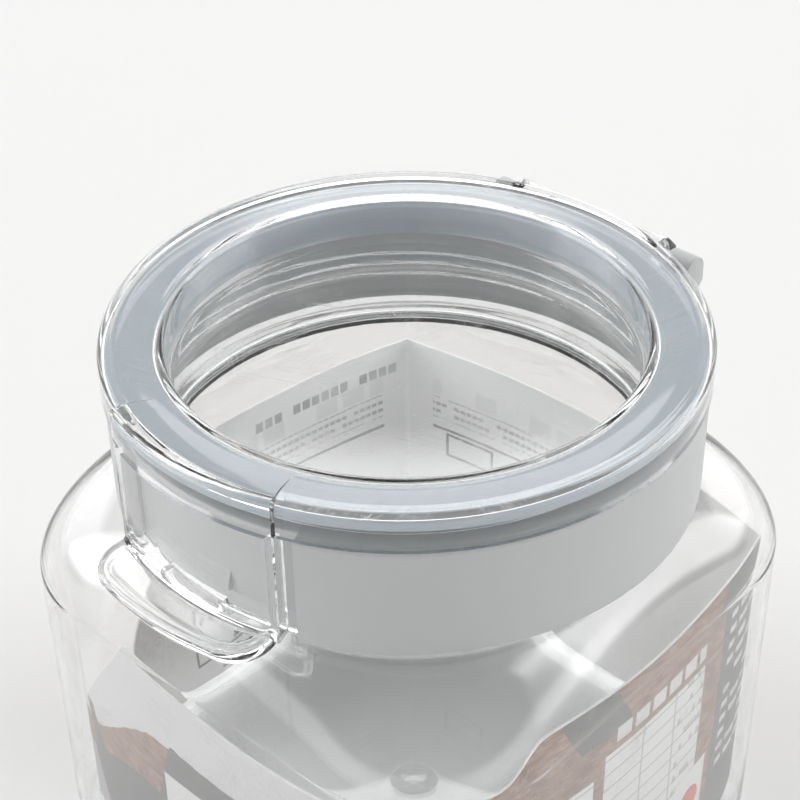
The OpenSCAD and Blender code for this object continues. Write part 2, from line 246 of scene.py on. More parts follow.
class Form:
    """A skin that grows from grids of points and is welded into one mesh."""

    def __init__(self) -> None:
        """Start with no points."""
        self.points: list[Points] = []
        self.faces: list[list[int]] = []
        self.count = 0

    def add_points(self, points: Points) -> Points:
        """Add points.

        Args:
            points: Points in a row or a grid, with three coordinates each.

        Returns:
            The points' numbers, in the same row or grid.
        """
        flat = points.reshape(-1, 3)
        numbers = np.arange(self.count, self.count + len(flat))
        self.points.append(flat)
        self.count += len(flat)
        return numbers.reshape(points.shape[:-1])

    def grid(self, points: Points, round_rows: bool = False, round_cols: bool = False) -> Points:
        """Add a grid of points with a face in each cell.

        Args:
            points: Array of rows, columns and three coordinates.
            round_rows: True where the last row joins the first.
            round_cols: True where the last column joins the first.

        Returns:
            The points' numbers, in rows and columns.
        """
        ids = self.add_points(points)
        rows, cols = ids.shape
        for i in range(rows if round_rows else rows - 1):
            a, b = ids[i], ids[(i + 1) % rows]
            for j in range(cols if round_cols else cols - 1):
                k = (j + 1) % cols
                self.faces.append([a[j], b[j], b[k], a[k]])
        return ids

    def flat(self, numbers: Sequence[int]) -> None:
        """Add one flat face through points that are there already."""
        self.faces.append([int(n) for n in numbers])

    def seam(self, first: Points, second: Points) -> None:
        """Close the step between two sections in one plane.

        Args:
            first: Numbers of the points along one section.
            second: Numbers of the points along the other.
        """
        where = np.concatenate(self.points)
        same = np.linalg.norm(where[first] - where[second], axis=1) < SAME_SPOT
        i, count = 0, len(first)
        while i < count:
            if same[i]:
                i += 1
                continue
            j = i
            while j < count and not same[j]:
                j += 1
            low, high = max(i - 1, 0), min(j, count - 1)
            self.flat(list(first[low:high + 1]) + list(second[low:high + 1][::-1]))
            i = j

    def piece(self, name: str, sharp: float = 35.0) -> bpy.types.Object:
        """Weld the skin and make it an object in metres.

        Args:
            name: Name of the object.
            sharp: Angle in degrees from which an edge is left sharp.

        Returns:
            The new object.
        """
        where = np.concatenate(self.points)
        keys = np.round(where * WELD_STEPS).astype(np.int64)
        _, index, back = np.unique(keys, axis=0, return_index=True, return_inverse=True)
        back = back.ravel()
        faces: list[list[int]] = []
        for face in self.faces:
            mapped = [int(back[n]) for n in face]
            clean = [v for k, v in enumerate(mapped) if v != mapped[k - 1]]
            if len(clean) > 2:
                faces.append(clean)
        mesh = bpy.data.meshes.new(name)
        mesh.from_pydata((where[index] * MM).tolist(), [], faces)
        mesh.validate(verbose=False)
        work = bmesh.new()
        work.from_mesh(mesh)
        bmesh.ops.recalc_face_normals(work, faces=work.faces)
        work.to_mesh(mesh)
        work.free()
        mesh.shade_smooth()
        mesh.set_sharp_from_angle(angle=math.radians(sharp))
        made = bpy.data.objects.new(name, mesh)
        bpy.context.scene.collection.objects.link(made)
        return made


def open_edges(piece: bpy.types.Object) -> int:
    """Count the edges that don't have two faces.

    Args:
        piece: The piece.

    Returns:
        Their number.
    """
    work = bmesh.new()
    work.from_mesh(piece.data)
    count = sum(1 for e in work.edges if len(e.link_faces) != 2)
    work.free()
    return count


def lathe(name: str, section: Points, steps: int = 240, closed: bool = True) -> bpy.types.Object:
    """Turn a section round the neck's axis.

    Args:
        name: Name of the object.
        section: Points of radius and height.
        steps: Faces round the axis.
        closed: True where the section's last point joins its first.

    Returns:
        The new object.
    """
    form = Form()
    turns = np.arange(steps) * 360 / steps
    points = np.stack([place(t, section[:, 0], section[:, 1]) for t in turns])
    form.grid(points, round_rows=True, round_cols=closed)
    return form.piece(name)


def cut(target: bpy.types.Object, tool: bpy.types.Object, way: str) -> None:
    """Join a closed piece to another, or cut it away, and drop the tool.

    Args:
        target: The piece that stays.
        tool: The piece that it is worked with.
        way: The boolean's operation.
    """
    step = target.modifiers.new("cut", "BOOLEAN")
    step.operation = way
    step.solver = "EXACT"
    step.object = tool
    apply_modifiers(target)
    bpy.data.objects.remove(tool)


def close_slits(piece: bpy.types.Object, width: float = 0.002 * MM) -> None:
    """Close the slits where a long open edge lies along two short ones.

    Args:
        piece: The piece.
        width: Greatest width of a slit.
    """
    whole = bmesh.new()
    whole.from_mesh(piece.data)
    rim = [edge for edge in whole.edges if edge.is_boundary]
    ends = [vert for vert in whole.verts if vert.is_boundary]
    for edge in rim:
        start, stop = edge.verts
        for vert in ends:
            if vert in (start, stop):
                continue
            near, share = intersect_point_line(vert.co, start.co, stop.co)
            if 0 < share < 1 and (near - vert.co).length < width:
                bmesh.utils.edge_split(edge, start, share)
                break
    bmesh.ops.remove_doubles(whole, verts=[vert for vert in whole.verts if vert.is_boundary], dist=width)
    whole.to_mesh(piece.data)
    whole.free()


def apply_modifiers(piece: bpy.types.Object) -> None:
    """Make what a piece's modifiers give its own mesh.

    Args:
        piece: The piece.
    """
    bpy.context.view_layer.update()
    graph = bpy.context.evaluated_depsgraph_get()
    mesh = bpy.data.meshes.new_from_object(piece.evaluated_get(graph))
    old = piece.data
    piece.modifiers.clear()
    piece.data = mesh
    bpy.data.meshes.remove(old)


def extruded(name: str, outline: Sequence[tuple[float, float]], low: float, high: float, edge: float,
             steps: int = 3) -> bpy.types.Object:
    """Extrude an outline in the Y and Z plane along X, with small round edges.

    Args:
        name: Name of the object.
        outline: Points of Y and Z in millimetres.
        low: Where it starts along X.
        high: Where it ends.
        edge: Radius of its edges.
        steps: Faces across an edge.

    Returns:
        The new object.
    """
    form = Form()
    sides = np.array([[[x, y, z] for y, z in outline] for x in (low, high)], float)
    ids = form.grid(sides, round_cols=True)
    form.flat(ids[0])
    form.flat(ids[1][::-1])
    made = form.piece(name)
    step = made.modifiers.new("edges", "BEVEL")
    step.width = edge * MM
    step.segments = steps
    step.limit_method = "ANGLE"
    step.angle_limit = math.radians(ROUND_FROM)
    apply_modifiers(made)
    made.data.shade_smooth()
    made.data.set_sharp_from_angle(angle=math.radians(SHARP_FROM))
    return made


def arc_points(y: float, z: float, r: float, start: float, stop: float,
               steps: int) -> list[tuple[float, float]]:
    """Points on an arc, by angles in degrees from +Y towards +Z."""
    return [(y + r * math.cos(math.radians(a)), z + r * math.sin(math.radians(a)))
            for a in np.linspace(start, stop, steps + 1)]


def joined(name: str, parts: Sequence[bpy.types.Object]) -> bpy.types.Object:
    """Join parts that are moulded as one piece.

    Args:
        name: Name of the piece.
        parts: The parts, the first of which stays.

    Returns:
        The piece.
    """
    whole = bmesh.new()
    for part in parts:
        whole.from_mesh(part.data)
    mesh = bpy.data.meshes.new(name)
    whole.to_mesh(mesh)
    whole.free()
    for part in parts:
        bpy.data.objects.remove(part)
    made = bpy.data.objects.new(name, mesh)
    bpy.context.scene.collection.objects.link(made)
    return made


def sector(name: str, section: Points, start: float, stop: float, step: float = 1.5) -> bpy.types.Object:
    """Turn a closed section part of the way round, with flat ends.

    Args:
        name: Name of the object.
        section: Points of radius and height, in order round the section.
        start: First direction in degrees.
        stop: Last direction.
        step: Largest step between directions.

    Returns:
        The new object.
    """
    form = Form()
    rows = [place(t, section[:, 0], section[:, 1]) for t in spread(start, stop, step)]
    ids = form.grid(np.stack(rows), round_cols=True)
    form.flat(ids[0])
    form.flat(ids[-1][::-1])
    return form.piece(name)


class Sock:
    """A node's output that takes part in sums."""

    def __init__(self, kit: "NodeKit", socket: bpy.types.NodeSocket) -> None:
        self.kit = kit
        self.socket = socket

    def calc(self, operation: str, a: "Sock | float", b: "Sock | float" = 0.0) -> "Sock":
        """Add a Math node.

        Args:
            operation: The node's operation.
            a: First value.
            b: Second value.

        Returns:
            The node's output.
        """
        return self.kit.out("ShaderNodeMath", {"operation": operation}, {0: a, 1: b})

    def __add__(self, other: "Sock | float") -> "Sock":
        """Sum."""
        return self.calc("ADD", self, other)

    def __radd__(self, other: float) -> "Sock":
        """Sum with a number first."""
        return self.calc("ADD", other, self)

    def __sub__(self, other: "Sock | float") -> "Sock":
        """Difference."""
        return self.calc("SUBTRACT", self, other)

    def __rsub__(self, other: float) -> "Sock":
        """Difference with a number first."""
        return self.calc("SUBTRACT", other, self)

    def __mul__(self, other: "Sock | float") -> "Sock":
        """Product."""
        return self.calc("MULTIPLY", self, other)

    def __rmul__(self, other: float) -> "Sock":
        """Product with a number first."""
        return self.calc("MULTIPLY", other, self)

    def __truediv__(self, other: "Sock | float") -> "Sock":
        """Quotient."""
        return self.calc("DIVIDE", self, other)

    def __abs__(self) -> "Sock":
        """Size without sign."""
        return self.calc("ABSOLUTE", self)

    def __pow__(self, other: float) -> "Sock":
        """Power."""
        return self.calc("POWER", self, other)

    def over(self, limit: "Sock | float") -> "Sock":
        """1 where the value is above a limit, and 0 elsewhere."""
        return self.calc("GREATER_THAN", self, limit)

    def under(self, limit: "Sock | float") -> "Sock":
        """1 where the value is below a limit, and 0 elsewhere."""
        return self.calc("LESS_THAN", self, limit)

    def floor(self) -> "Sock":
        """The whole number below the value."""
        return self.calc("FLOOR", self)

    def repeat(self, length: float) -> "Sock":
        """The value's place within a repeat of the given length."""
        return self.calc("FLOORED_MODULO", self, length)

    def at_most(self, other: "Sock | float") -> "Sock":
        """The smaller of two values."""
        return self.calc("MINIMUM", self, other)

    def at_least(self, other: "Sock | float") -> "Sock":
        """The larger of two values."""
        return self.calc("MAXIMUM", self, other)

    def within(self, low: float, high: float) -> "Sock":
        """1 between two limits, and 0 elsewhere."""
        return self.over(low) * self.under(high)

    def ease(self, low: float, high: float) -> "Sock":
        """Smooth step between two limits.

        Args:
            low: Value up to which the step is 0.
            high: Value from which it is 1.

        Returns:
            The step.
        """
        return self.kit.out(
            "ShaderNodeMapRange",
            {"interpolation_type": "SMOOTHSTEP"},
            {0: self, 1: low, 2: high, 3: 0.0, 4: 1.0},
        )


class NodeKit:
    """Makes the nodes of one tree."""

    def __init__(self, tree: bpy.types.NodeTree) -> None:
        """Keep the tree, emptied."""
        self.tree = tree
        tree.nodes.clear()

    def node(self, kind: str, settings: dict | None = None, inputs: dict | None = None) -> bpy.types.Node:
        """Make a node.

        Args:
            kind: The node's type.
            settings: The node's own settings, which are set first.
            inputs: Values or outputs for its inputs, by name or number.

        Returns:
            The node.
        """
        made = self.tree.nodes.new(kind)
        for key, value in (settings or {}).items():
            setattr(made, key, value)
        for key, value in (inputs or {}).items():
            if isinstance(value, Sock):
                self.tree.links.new(value.socket, made.inputs[key])
            elif isinstance(value, tuple) and made.inputs[key].type == "RGBA":
                made.inputs[key].default_value = (*value, 1)
            else:
                made.inputs[key].default_value = value
        return made

    def out(self, kind: str, settings: dict | None = None, inputs: dict | None = None,
            output: int | str = 0) -> Sock:
        """Make a node and return one of its outputs.

        Args:
            kind: The node's type.
            settings: The node's own settings.
            inputs: Values or outputs for its inputs.
            output: Name or number of the output.

        Returns:
            The output.
        """
        return Sock(self, self.node(kind, settings, inputs).outputs[output])

    def blend(self, share: Sock | float, first: Sock | Colour, second: Sock | Colour) -> Sock:
        """Mix two colours.

        Args:
            share: How much of the second.
            first: First colour.
            second: Second colour.

        Returns:
            The mixed colour.
        """
        return self.out("ShaderNodeMix", {"data_type": "RGBA"}, {0: share, 6: first, 7: second}, 2)

    def spot(self, x: Sock, y: Sock) -> Sock:
        """A place on a flat field."""
        return self.out("ShaderNodeCombineXYZ", inputs={0: x, 1: y, 2: 0.0})

    def place(self) -> Sock:
        """The point's own place on its piece, in metres."""
        return self.out("ShaderNodeTexCoord", output="Object")

    def parts(self, vector: Sock) -> tuple[Sock, Sock, Sock]:
        """The three parts of a vector."""
        made = self.node("ShaderNodeSeparateXYZ", inputs={0: vector})
        return Sock(self, made.outputs[0]), Sock(self, made.outputs[1]), Sock(self, made.outputs[2])

    def stretched(self, vector: Sock, scale: tuple[float, float, float]) -> Sock:
        """A vector times a scale for each axis."""
        return self.out("ShaderNodeVectorMath", {"operation": "MULTIPLY"}, {0: vector, 1: scale})

    def noise(self, where: Sock, scale: float, detail: float = 2.0, rough: float = 0.5) -> Sock:
        """Soft noise.

        Args:
            where: Places.
            scale: Waves to the metre.
            detail: Octaves.
            rough: Strength of the finer octaves.

        Returns:
            Values about one half.
        """
        inputs = {"Vector": where, "Scale": scale, "Detail": detail, "Roughness": rough}
        return self.out("ShaderNodeTexNoise", inputs=inputs)

    def bump(self, height: Sock, distance: float, strength: float = 1.0, before: Sock | None = None) -> Sock:
        """Turn heights into a normal.

        Args:
            height: Heights from 0 to 1.
            distance: Metres that 1 stands for.
            strength: Strength of the whole.
            before: A normal to build on.

        Returns:
            The normal.
        """
        inputs = {"Height": height, "Distance": distance, "Strength": strength}
        if before is not None:
            inputs["Normal"] = before
        return self.out("ShaderNodeBump", inputs=inputs)

    def scratches(self, where: Sock, scale: float, share: float) -> Sock:
        """Fine straight scratches in many directions.

        Args:
            where: Places.
            scale: Scratches to the metre, about.
            share: Share of the field that may carry them.

        Returns:
            1 in a scratch, 0 elsewhere.
        """
        total: Sock | None = None
        for turn in SCRATCH_TURNS:
            turned = self.out(
                "ShaderNodeVectorRotate", {"rotation_type": "AXIS_ANGLE"},
                {"Vector": where, "Axis": SCRATCH_AXIS, "Angle": turn},
            )
            long = self.stretched(turned, SCRATCH_STRETCH)
            line = self.noise(long, scale, 0.0)
            field = self.noise(where, scale * SCRATCH_FIELDS * (1 + turn), 0.0)
            hit = abs(line - 0.5).under(SCRATCH_WIDTH) * field.over(1 - share)
            total = hit if total is None else total.at_least(hit)
        assert total is not None
        return total


def new_material(name: str) -> tuple[bpy.types.Material, NodeKit]:
    """Make an empty node material.

    Args:
        name: The material's name.
    """
    made = bpy.data.materials.new(name)
    made.use_nodes = True
    return made, NodeKit(made.node_tree)


def shade(kit: NodeKit, inputs: dict, lets_by: Colour | None = None) -> None:
    """Add the surface shader and the output.

    Args:
        kit: The material's kit.
        inputs: The surface shader's inputs.
        lets_by: Share of soft light that a clear skin lets straight through, where it does.
    """
    surface = kit.out("ShaderNodeBsdfPrincipled", {"distribution": "MULTI_GGX"}, inputs)
    if lets_by is not None:
        path = kit.node("ShaderNodeLightPath")
        soft = Sock(kit, path.outputs["Is Shadow Ray"]).at_least(Sock(kit, path.outputs["Is Diffuse Ray"]))
        through = kit.out("ShaderNodeBsdfTransparent", inputs={"Color": lets_by})
        surface = kit.out("ShaderNodeMixShader", inputs={0: soft, 1: surface, 2: through})
    kit.node("ShaderNodeOutputMaterial", inputs={"Surface": surface})


@dataclass(frozen=True)
class ClearPlastic:
    """Clear moulded plastic with a slow flow wave and fine handling scratches."""

    name: str
    tint: Colour = (0.995, 0.998, 0.998)
    dust: Colour = (0.8, 0.8, 0.79)
    lets_by: Colour = (0.965, 0.97, 0.97)
    bend: float = 1.57
    gloss: float = 0.012
    wave: float = 0.00001
    wave_rate: float = 90.0
    mark_rate: float = 1500.0
    mark_depth: float = 0.000004
    wear: float = 0.35
    dust_rate: float = 260.0
    dust_size: float = 0.045

    def make(self) -> bpy.types.Material:
        """Make the material.

        Returns:
            The material.
        """
        material, kit = new_material(self.name)
        where = kit.place()
        wave = kit.noise(where, self.wave_rate, 2.0, 0.4)
        fine = kit.noise(where, self.wave_rate * 9, 1.0)
        marks = kit.scratches(where, self.mark_rate, self.wear)
        cells = kit.out("ShaderNodeTexVoronoi", inputs={"Vector": where, "Scale": self.dust_rate})
        dust = cells.under(self.dust_size)
        normal = kit.bump(wave + 0.05 * fine, self.wave)
        normal = kit.bump(marks, self.mark_depth, 0.6, normal)
        shade(kit, {
            "Base Color": kit.blend(dust * 0.25, self.tint, self.dust),
            "Roughness": self.gloss + 0.05 * wave ** 3.0 + 0.12 * marks + 0.15 * dust,
            "IOR": self.bend,
            "Transmission Weight": 1.0,
            "Normal": normal,
        }, self.lets_by)
        return material


@dataclass(frozen=True)
class SatinPlastic:
    """Opaque moulded plastic with a fine even grain."""

    name: str
    colour: Colour
    shadow: Colour
    gloss: float = 0.38
    cloud_rate: float = 60.0
    grain: float = 0.000004
    grain_rate: float = 9000.0
    mark_rate: float = 1100.0
    mark_depth: float = 0.000004
    wear: float = 0.3

    def make(self) -> bpy.types.Material:
        """Make the material.

        Returns:
            The material.
        """
        material, kit = new_material(self.name)
        where = kit.place()
        cloud = kit.noise(where, self.cloud_rate, 3.0)
        grain = kit.noise(where, self.grain_rate, 2.0, 0.6)
        marks = kit.scratches(where, self.mark_rate, self.wear)
        normal = kit.bump(grain, self.grain, 0.7)
        normal = kit.bump(marks, self.mark_depth, 0.5, normal)
        shade(kit, {
            "Base Color": kit.blend(cloud.ease(0.3, 0.7) * 0.35, self.colour, self.shadow),
            "Roughness": self.gloss + 0.08 * grain - 0.1 * marks,
            "IOR": 1.49,
            "Normal": normal,
        })
        return material


@dataclass(frozen=True)
class SoftRubber:
    """Matt silicone rubber with a dusty bloom."""

    name: str
    colour: Colour
    bloom: Colour
    gloss: float = 0.42
    cloud_rate: float = 140.0
    grain: float = 0.000006
    grain_rate: float = 6000.0

    def make(self) -> bpy.types.Material:
        """Make the material.

        Returns:
            The material.
        """
        material, kit = new_material(self.name)
        where = kit.place()
        cloud = kit.noise(where, self.cloud_rate, 4.0, 0.6)
        grain = kit.noise(where, self.grain_rate, 2.0)
        shade(kit, {
            "Base Color": kit.blend(cloud.ease(0.35, 0.75) * 0.5, self.colour, self.bloom),
            "Roughness": self.gloss + 0.18 * cloud,
            "IOR": 1.41,
            "Normal": kit.bump(grain + cloud, self.grain, 0.6),
        })
        return material


@dataclass(frozen=True)
class Field:
    """An upright field of a print, between two places along the card and two heights."""

    start: float
    stop: float
    low: float
    high: float

    def mask(self, along: Sock, up: Sock) -> Sock:
        """1 in the field, 0 elsewhere."""
        return along.within(self.start, self.stop) * up.within(self.low, self.high)

    def frame(self, along: Sock, up: Sock, width: float) -> Sock:
        """1 in a line of the given width along the field's edge, 0 elsewhere."""
        inner = Field(self.start + width, self.stop - width, self.low + width, self.high - width)
        return self.mask(along, up) - inner.mask(along, up)


@dataclass(frozen=True)
class PrintedCard:
    """Coated paper with a generic print of bands, tables, rules and dots, and a faint print and painted
    shade inside.

    Places along the card and heights are in hundreds of millimetres, as in the card's map.
    """

    name: str
    panel_end: float = 0.86
    strip_start: float = 1.52
    strip_end: float = 1.72
    card_end: float = 3.2
    row: float = 0.034
    rule: float = 0.0035
    patch: Field = Field(0.3, 0.4, 0.0, 0.35)
    picture: Field = Field(0.42, 0.84, 0.1, 0.3)
    table: Field = Field(1.19, 1.46, 0.08, 0.49)
    listing: Field = Field(0.98, 1.165, 0.06, 0.455)
    heading: Field = Field(1.2, 1.46, 0.5, 0.58)
    tags: Field = Field(1.545, 1.66, 0.16, 0.56)
    label: Field = Field(1.4, 1.5, 0.05, 0.25)
    far_table: Field = Field(1.84, 2.24, 0.17, 0.42)
    squares_start: float = 2.54
    squares_end: float = 3.06
    squares_step: float = 0.13
    squares_wide: float = 0.108
    inner_frame: Field = Field(2.84, 3.05, 0.09, 0.3)
    inner_box: Field = Field(2.3, 2.41, 0.37, 0.425)
    inner_rows: Field = Field(2.86, 2.99, 0.04, 0.16)
    inner_line: float = 0.006
    paper: Colour = (0.6, 0.595, 0.6)
    cloudy: Colour = (0.7, 0.69, 0.68)
    fibres: Colour = (0.75, 0.74, 0.72)
    back: Colour = (0.89, 0.89, 0.885)
    brown: Colour = (0.22, 0.135, 0.105)
    tan: Colour = (0.4, 0.28, 0.225)
    dark: Colour = (0.16, 0.155, 0.155)
    mauve: Colour = (0.38, 0.35, 0.36)
    white: Colour = (0.7, 0.7, 0.69)
    accent: Colour = (0.6, 0.12, 0.09)
    ink: Colour = (0.05, 0.05, 0.052)
    # colour of the shade painted on the card's inside
    shade: Colour = (0.42, 0.405, 0.4)

    def grain(self, kit: NodeKit, along: Sock, up: Sock) -> Sock:
        """Colour of the brown grain field.

        Args:
            kit: The material's kit.
            along: Place along the card.
            up: Height.

        Returns:
            The colour.
        """
        coarse = kit.noise(kit.spot(along + up * 0.6, up * 2.0), 26.0, 5.0, 0.72)
        return kit.blend(coarse.ease(0.34, 0.7), self.brown, self.tan)

    def dashes(self, kit: NodeKit, along: Sock, up: Sock, step: float, row: float, share: float) -> Sock:
        """Rows of short marks with gaps here and there.

        Args:
            kit: The material's kit.
            along: Place along the card.
            up: Height.
            step: Length of a mark with its gap.
            row: Height of a row.
            share: Share of the places that carry a mark.

        Returns:
            1 in a mark, 0 elsewhere.
        """
        cell = kit.spot((along / step).floor(), (up / row).floor())
        chance = kit.out("ShaderNodeTexWhiteNoise", {"noise_dimensions": "3D"}, {"Vector": cell})
        in_row = up.repeat(row).under(row * DASH_HIGH)
        in_mark = along.repeat(step).under(step * DASH_LONG)
        return chance.under(share) * in_row * in_mark

    def make(self) -> bpy.types.Material:
        """Make the material.

        Returns:
            The material.
        """
        material, kit = new_material(self.name)
        along, up, _ = kit.parts(kit.out("ShaderNodeUVMap", {"uv_map": "card"}))
        outside = kit.out("ShaderNodeAttribute", {"attribute_name": "printed"}, output="Fac").over(0.5)
        where = kit.place()
        fibre = kit.noise(where, 2600.0, 3.0, 0.6)
        cloud = kit.noise(where, 45.0, 2.0)
        colour = kit.blend(cloud * 0.15, self.paper, self.cloudy)
        colour = self.front_panel(kit, along, up, colour)
        colour = self.side_panel(kit, along, up, colour)
        colour = self.far_panels(kit, along, up, colour)
        # Painted shade on the card's inside: darker towards the left panel's free end, more so higher up,
        # and towards the start of the far panels
        end = along.ease(2.85, 3.1) * (0.3 + 0.7 * up.ease(0.06, 0.26)) + 0.6 * (1 - along.ease(1.8, 2.1))
        inside_with_painted_shade = kit.blend(end, self.back, self.shade)
        inside = kit.blend(self.inner_marks(kit, along, up), inside_with_painted_shade, self.ink)
        colour = kit.blend(outside, inside, colour)
        shade(kit, {
            "Base Color": kit.blend(fibre * 0.12, colour, self.fibres),
            "Roughness": 0.4 + 0.2 * fibre,
            "IOR": 1.5,
            "Subsurface Weight": 0.5,
            "Subsurface Radius": (1.0, 1.0, 1.0),
            "Subsurface Scale": 0.0012,
            "Normal": kit.bump(fibre + 2.0 * cloud, 0.00002, 0.35),
        })
        return material

    def front_panel(self, kit: NodeKit, along: Sock, up: Sock, under: Sock) -> Sock:
        """Fields on the lower part of the card's front panel, laid over a colour.

        Args:
            kit: The material's kit.
            along: Place along the card.
            up: Height.
            under: Colour below.

        Returns:
            The colour.
        """
        rough = 0.012 * (kit.noise(kit.spot(along, up), 30.0, 3.0) - 0.5)
        edge = 0.265 + 0.15 * along.ease(0.02, 0.3) + rough
        panel = along.under(self.panel_end)
        colour = kit.blend(panel * (edge - up).over(0), under, self.grain(kit, along, up))
        low = 0.2 + 0.075 * along.ease(0.0, 0.24) + 0.15 * along.ease(0.27, 0.33) + rough
        colour = kit.blend(panel * (low - up).over(0), colour, self.dark)
        slant = along + 0.35 * up
        colour = kit.blend(panel * slant.within(0.13, 0.165) * up.within(0.08, 0.31), colour, self.dark)
        colour = kit.blend(panel * slant.within(0.02, 0.1) * up.under(0.19), colour, self.mauve)
        patch = self.patch
        rise = along.within(patch.start, patch.stop) * up.under(patch.high + 0.12 * (along - patch.start))
        colour = kit.blend(rise, colour, self.white)
        return kit.blend(self.picture.mask(along, up), colour, self.grain(kit, along, up))

    def side_panel(self, kit: NodeKit, along: Sock, up: Sock, under: Sock) -> Sock:
        """Bands, two tables and a row of marks on the card's side panels, laid over a colour.

        Args:
            kit: The material's kit.
            along: Place along the card.
            up: Height.
            under: Colour below.

        Returns:
            The colour.
        """
        colour = kit.blend(along.within(self.panel_end, self.card_end), under, self.grain(kit, along, up))
        lean = along + 0.5 * up
        colour = kit.blend(lean.within(1.4, self.strip_start) * up.over(0.53), colour, self.dark)
        colour = kit.blend(along.within(self.strip_start, self.strip_end), colour, self.dark)
        table = self.table.mask(along, up)
        listing = self.listing.mask(along, up)
        colour = kit.blend(table.at_least(listing), colour, self.white)
        rule = up.repeat(self.row).under(self.rule) + along.within(1.284, 1.288) + along.within(1.372, 1.376)
        colour = kit.blend((table + listing) * rule.at_most(1) * 0.5, colour, self.dark)
        entry = self.dashes(kit, along, up, 0.0105, self.row, 0.5)
        colour = kit.blend((table * along.over(1.385) + listing) * entry * 0.4, colour, self.ink)
        heading = self.dashes(kit, along, up - 0.505, 0.045, 0.075, 0.85) * self.heading.mask(along, up)
        tags = self.dashes(kit, along - 1.53, up, 0.05, 0.035, 0.8) * self.tags.mask(along, up)
        colour = kit.blend(heading.at_least(tags) * 0.85, colour, self.white)
        label = self.label.mask(along, up)
        colour = kit.blend(label, colour, self.white)
        spot = ((along - 1.452) ** 2.0 + (up - 0.17) ** 2.0).under(0.0011)
        return kit.blend(label * spot, colour, self.accent)

    def far_panels(self, kit: NodeKit, along: Sock, up: Sock, under: Sock) -> Sock:
        """A dark foot, a ruled table and a row of squares on the card's far panels, laid over a colour.

        Args:
            kit: The material's kit.
            along: Place along the card.
            up: Height.
            under: Colour below.

        Returns:
            The colour.
        """
        far = along.within(self.strip_end, self.card_end)
        colour = kit.blend(far * up.under(0.11), under, self.dark)
        colour = kit.blend(far * up.within(0.11, 0.125), colour, self.white)
        field = self.far_table.mask(along, up)
        colour = kit.blend(field, colour, self.white)
        rule = up.repeat(self.row).under(self.rule) + along.within(1.96, 1.964)
        entry = self.dashes(kit, along, up, 0.0125, self.row, 0.6) * along.over(1.98)
        colour = kit.blend(field * (rule * 0.5 + entry * 0.4).at_most(1), colour, self.ink)
        start, wide = self.squares_start, self.squares_wide
        column = (along - start).repeat(self.squares_step)
        steps = column.under(wide) * along.within(start, self.squares_end)
        squares = steps * up.within(0.26, 0.38)
        colour = kit.blend(squares, colour, self.white)
        spot = ((column - wide / 2) ** 2.0 + (up - 0.32) ** 2.0).under(0.0013)
        colour = kit.blend(squares * spot, colour, self.mauve)
        notes = self.dashes(kit, along, up, 0.0125, 0.024, 0.75) * steps * up.within(0.17, 0.24)
        heading = self.dashes(kit, along, up - 0.45, 0.045, 0.075, 0.85) * up.within(0.45, 0.52)
        heading = heading * (along.within(self.far_table.start, 2.2) + along.within(start, 2.94))
        return kit.blend(heading.at_least(notes) * 0.85, colour, self.white)

    def inner_marks(self, kit: NodeKit, along: Sock, up: Sock) -> Sock:
        """Frames, rules and rows of marks on the inside of the card.

        Args:
            kit: The material's kit.
            along: Place along the card.
            up: Height.

        Returns:
            Strength of the ink.
        """
        edge = self.inner_frame.frame(along, up, self.inner_line)
        grid = along.repeat(0.03).under(0.018) * up.repeat(0.036).under(0.02) * along.within(2.95, 3.035)
        rows = self.dashes(kit, along, up, 0.03, 0.05, 0.75) * self.inner_rows.mask(along, up)
        marks = edge + grid * up.within(0.17, 0.27) + rows
        fields = along.within(1.86, 2.44).at_least(along.within(2.56, 3.1))
        fine = self.dashes(kit, along, up, 0.014, 0.018, 0.86) * up.within(0.455, 0.507) * fields
        small = self.dashes(kit, along, up, 0.022, 0.05, 0.8)
        small = small * up.within(0.55, 0.58) * along.within(2.53, 2.86)
        blocks = self.dashes(kit, along, up - 0.512, 0.062, 0.09, 0.7) * up.within(0.512, 0.548) * fields
        line = up.within(0.43, 0.436) * fields + self.inner_box.frame(along, up, self.inner_line)
        soft = kit.noise(kit.spot(along, up), 14.0, 1.0).ease(0.3, 0.7)
        far = (0.5 * fine + 0.55 * small + 0.75 * line + 0.12 * blocks) * (0.6 + 0.4 * soft)
        return (0.75 * marks + far).at_most(0.85)


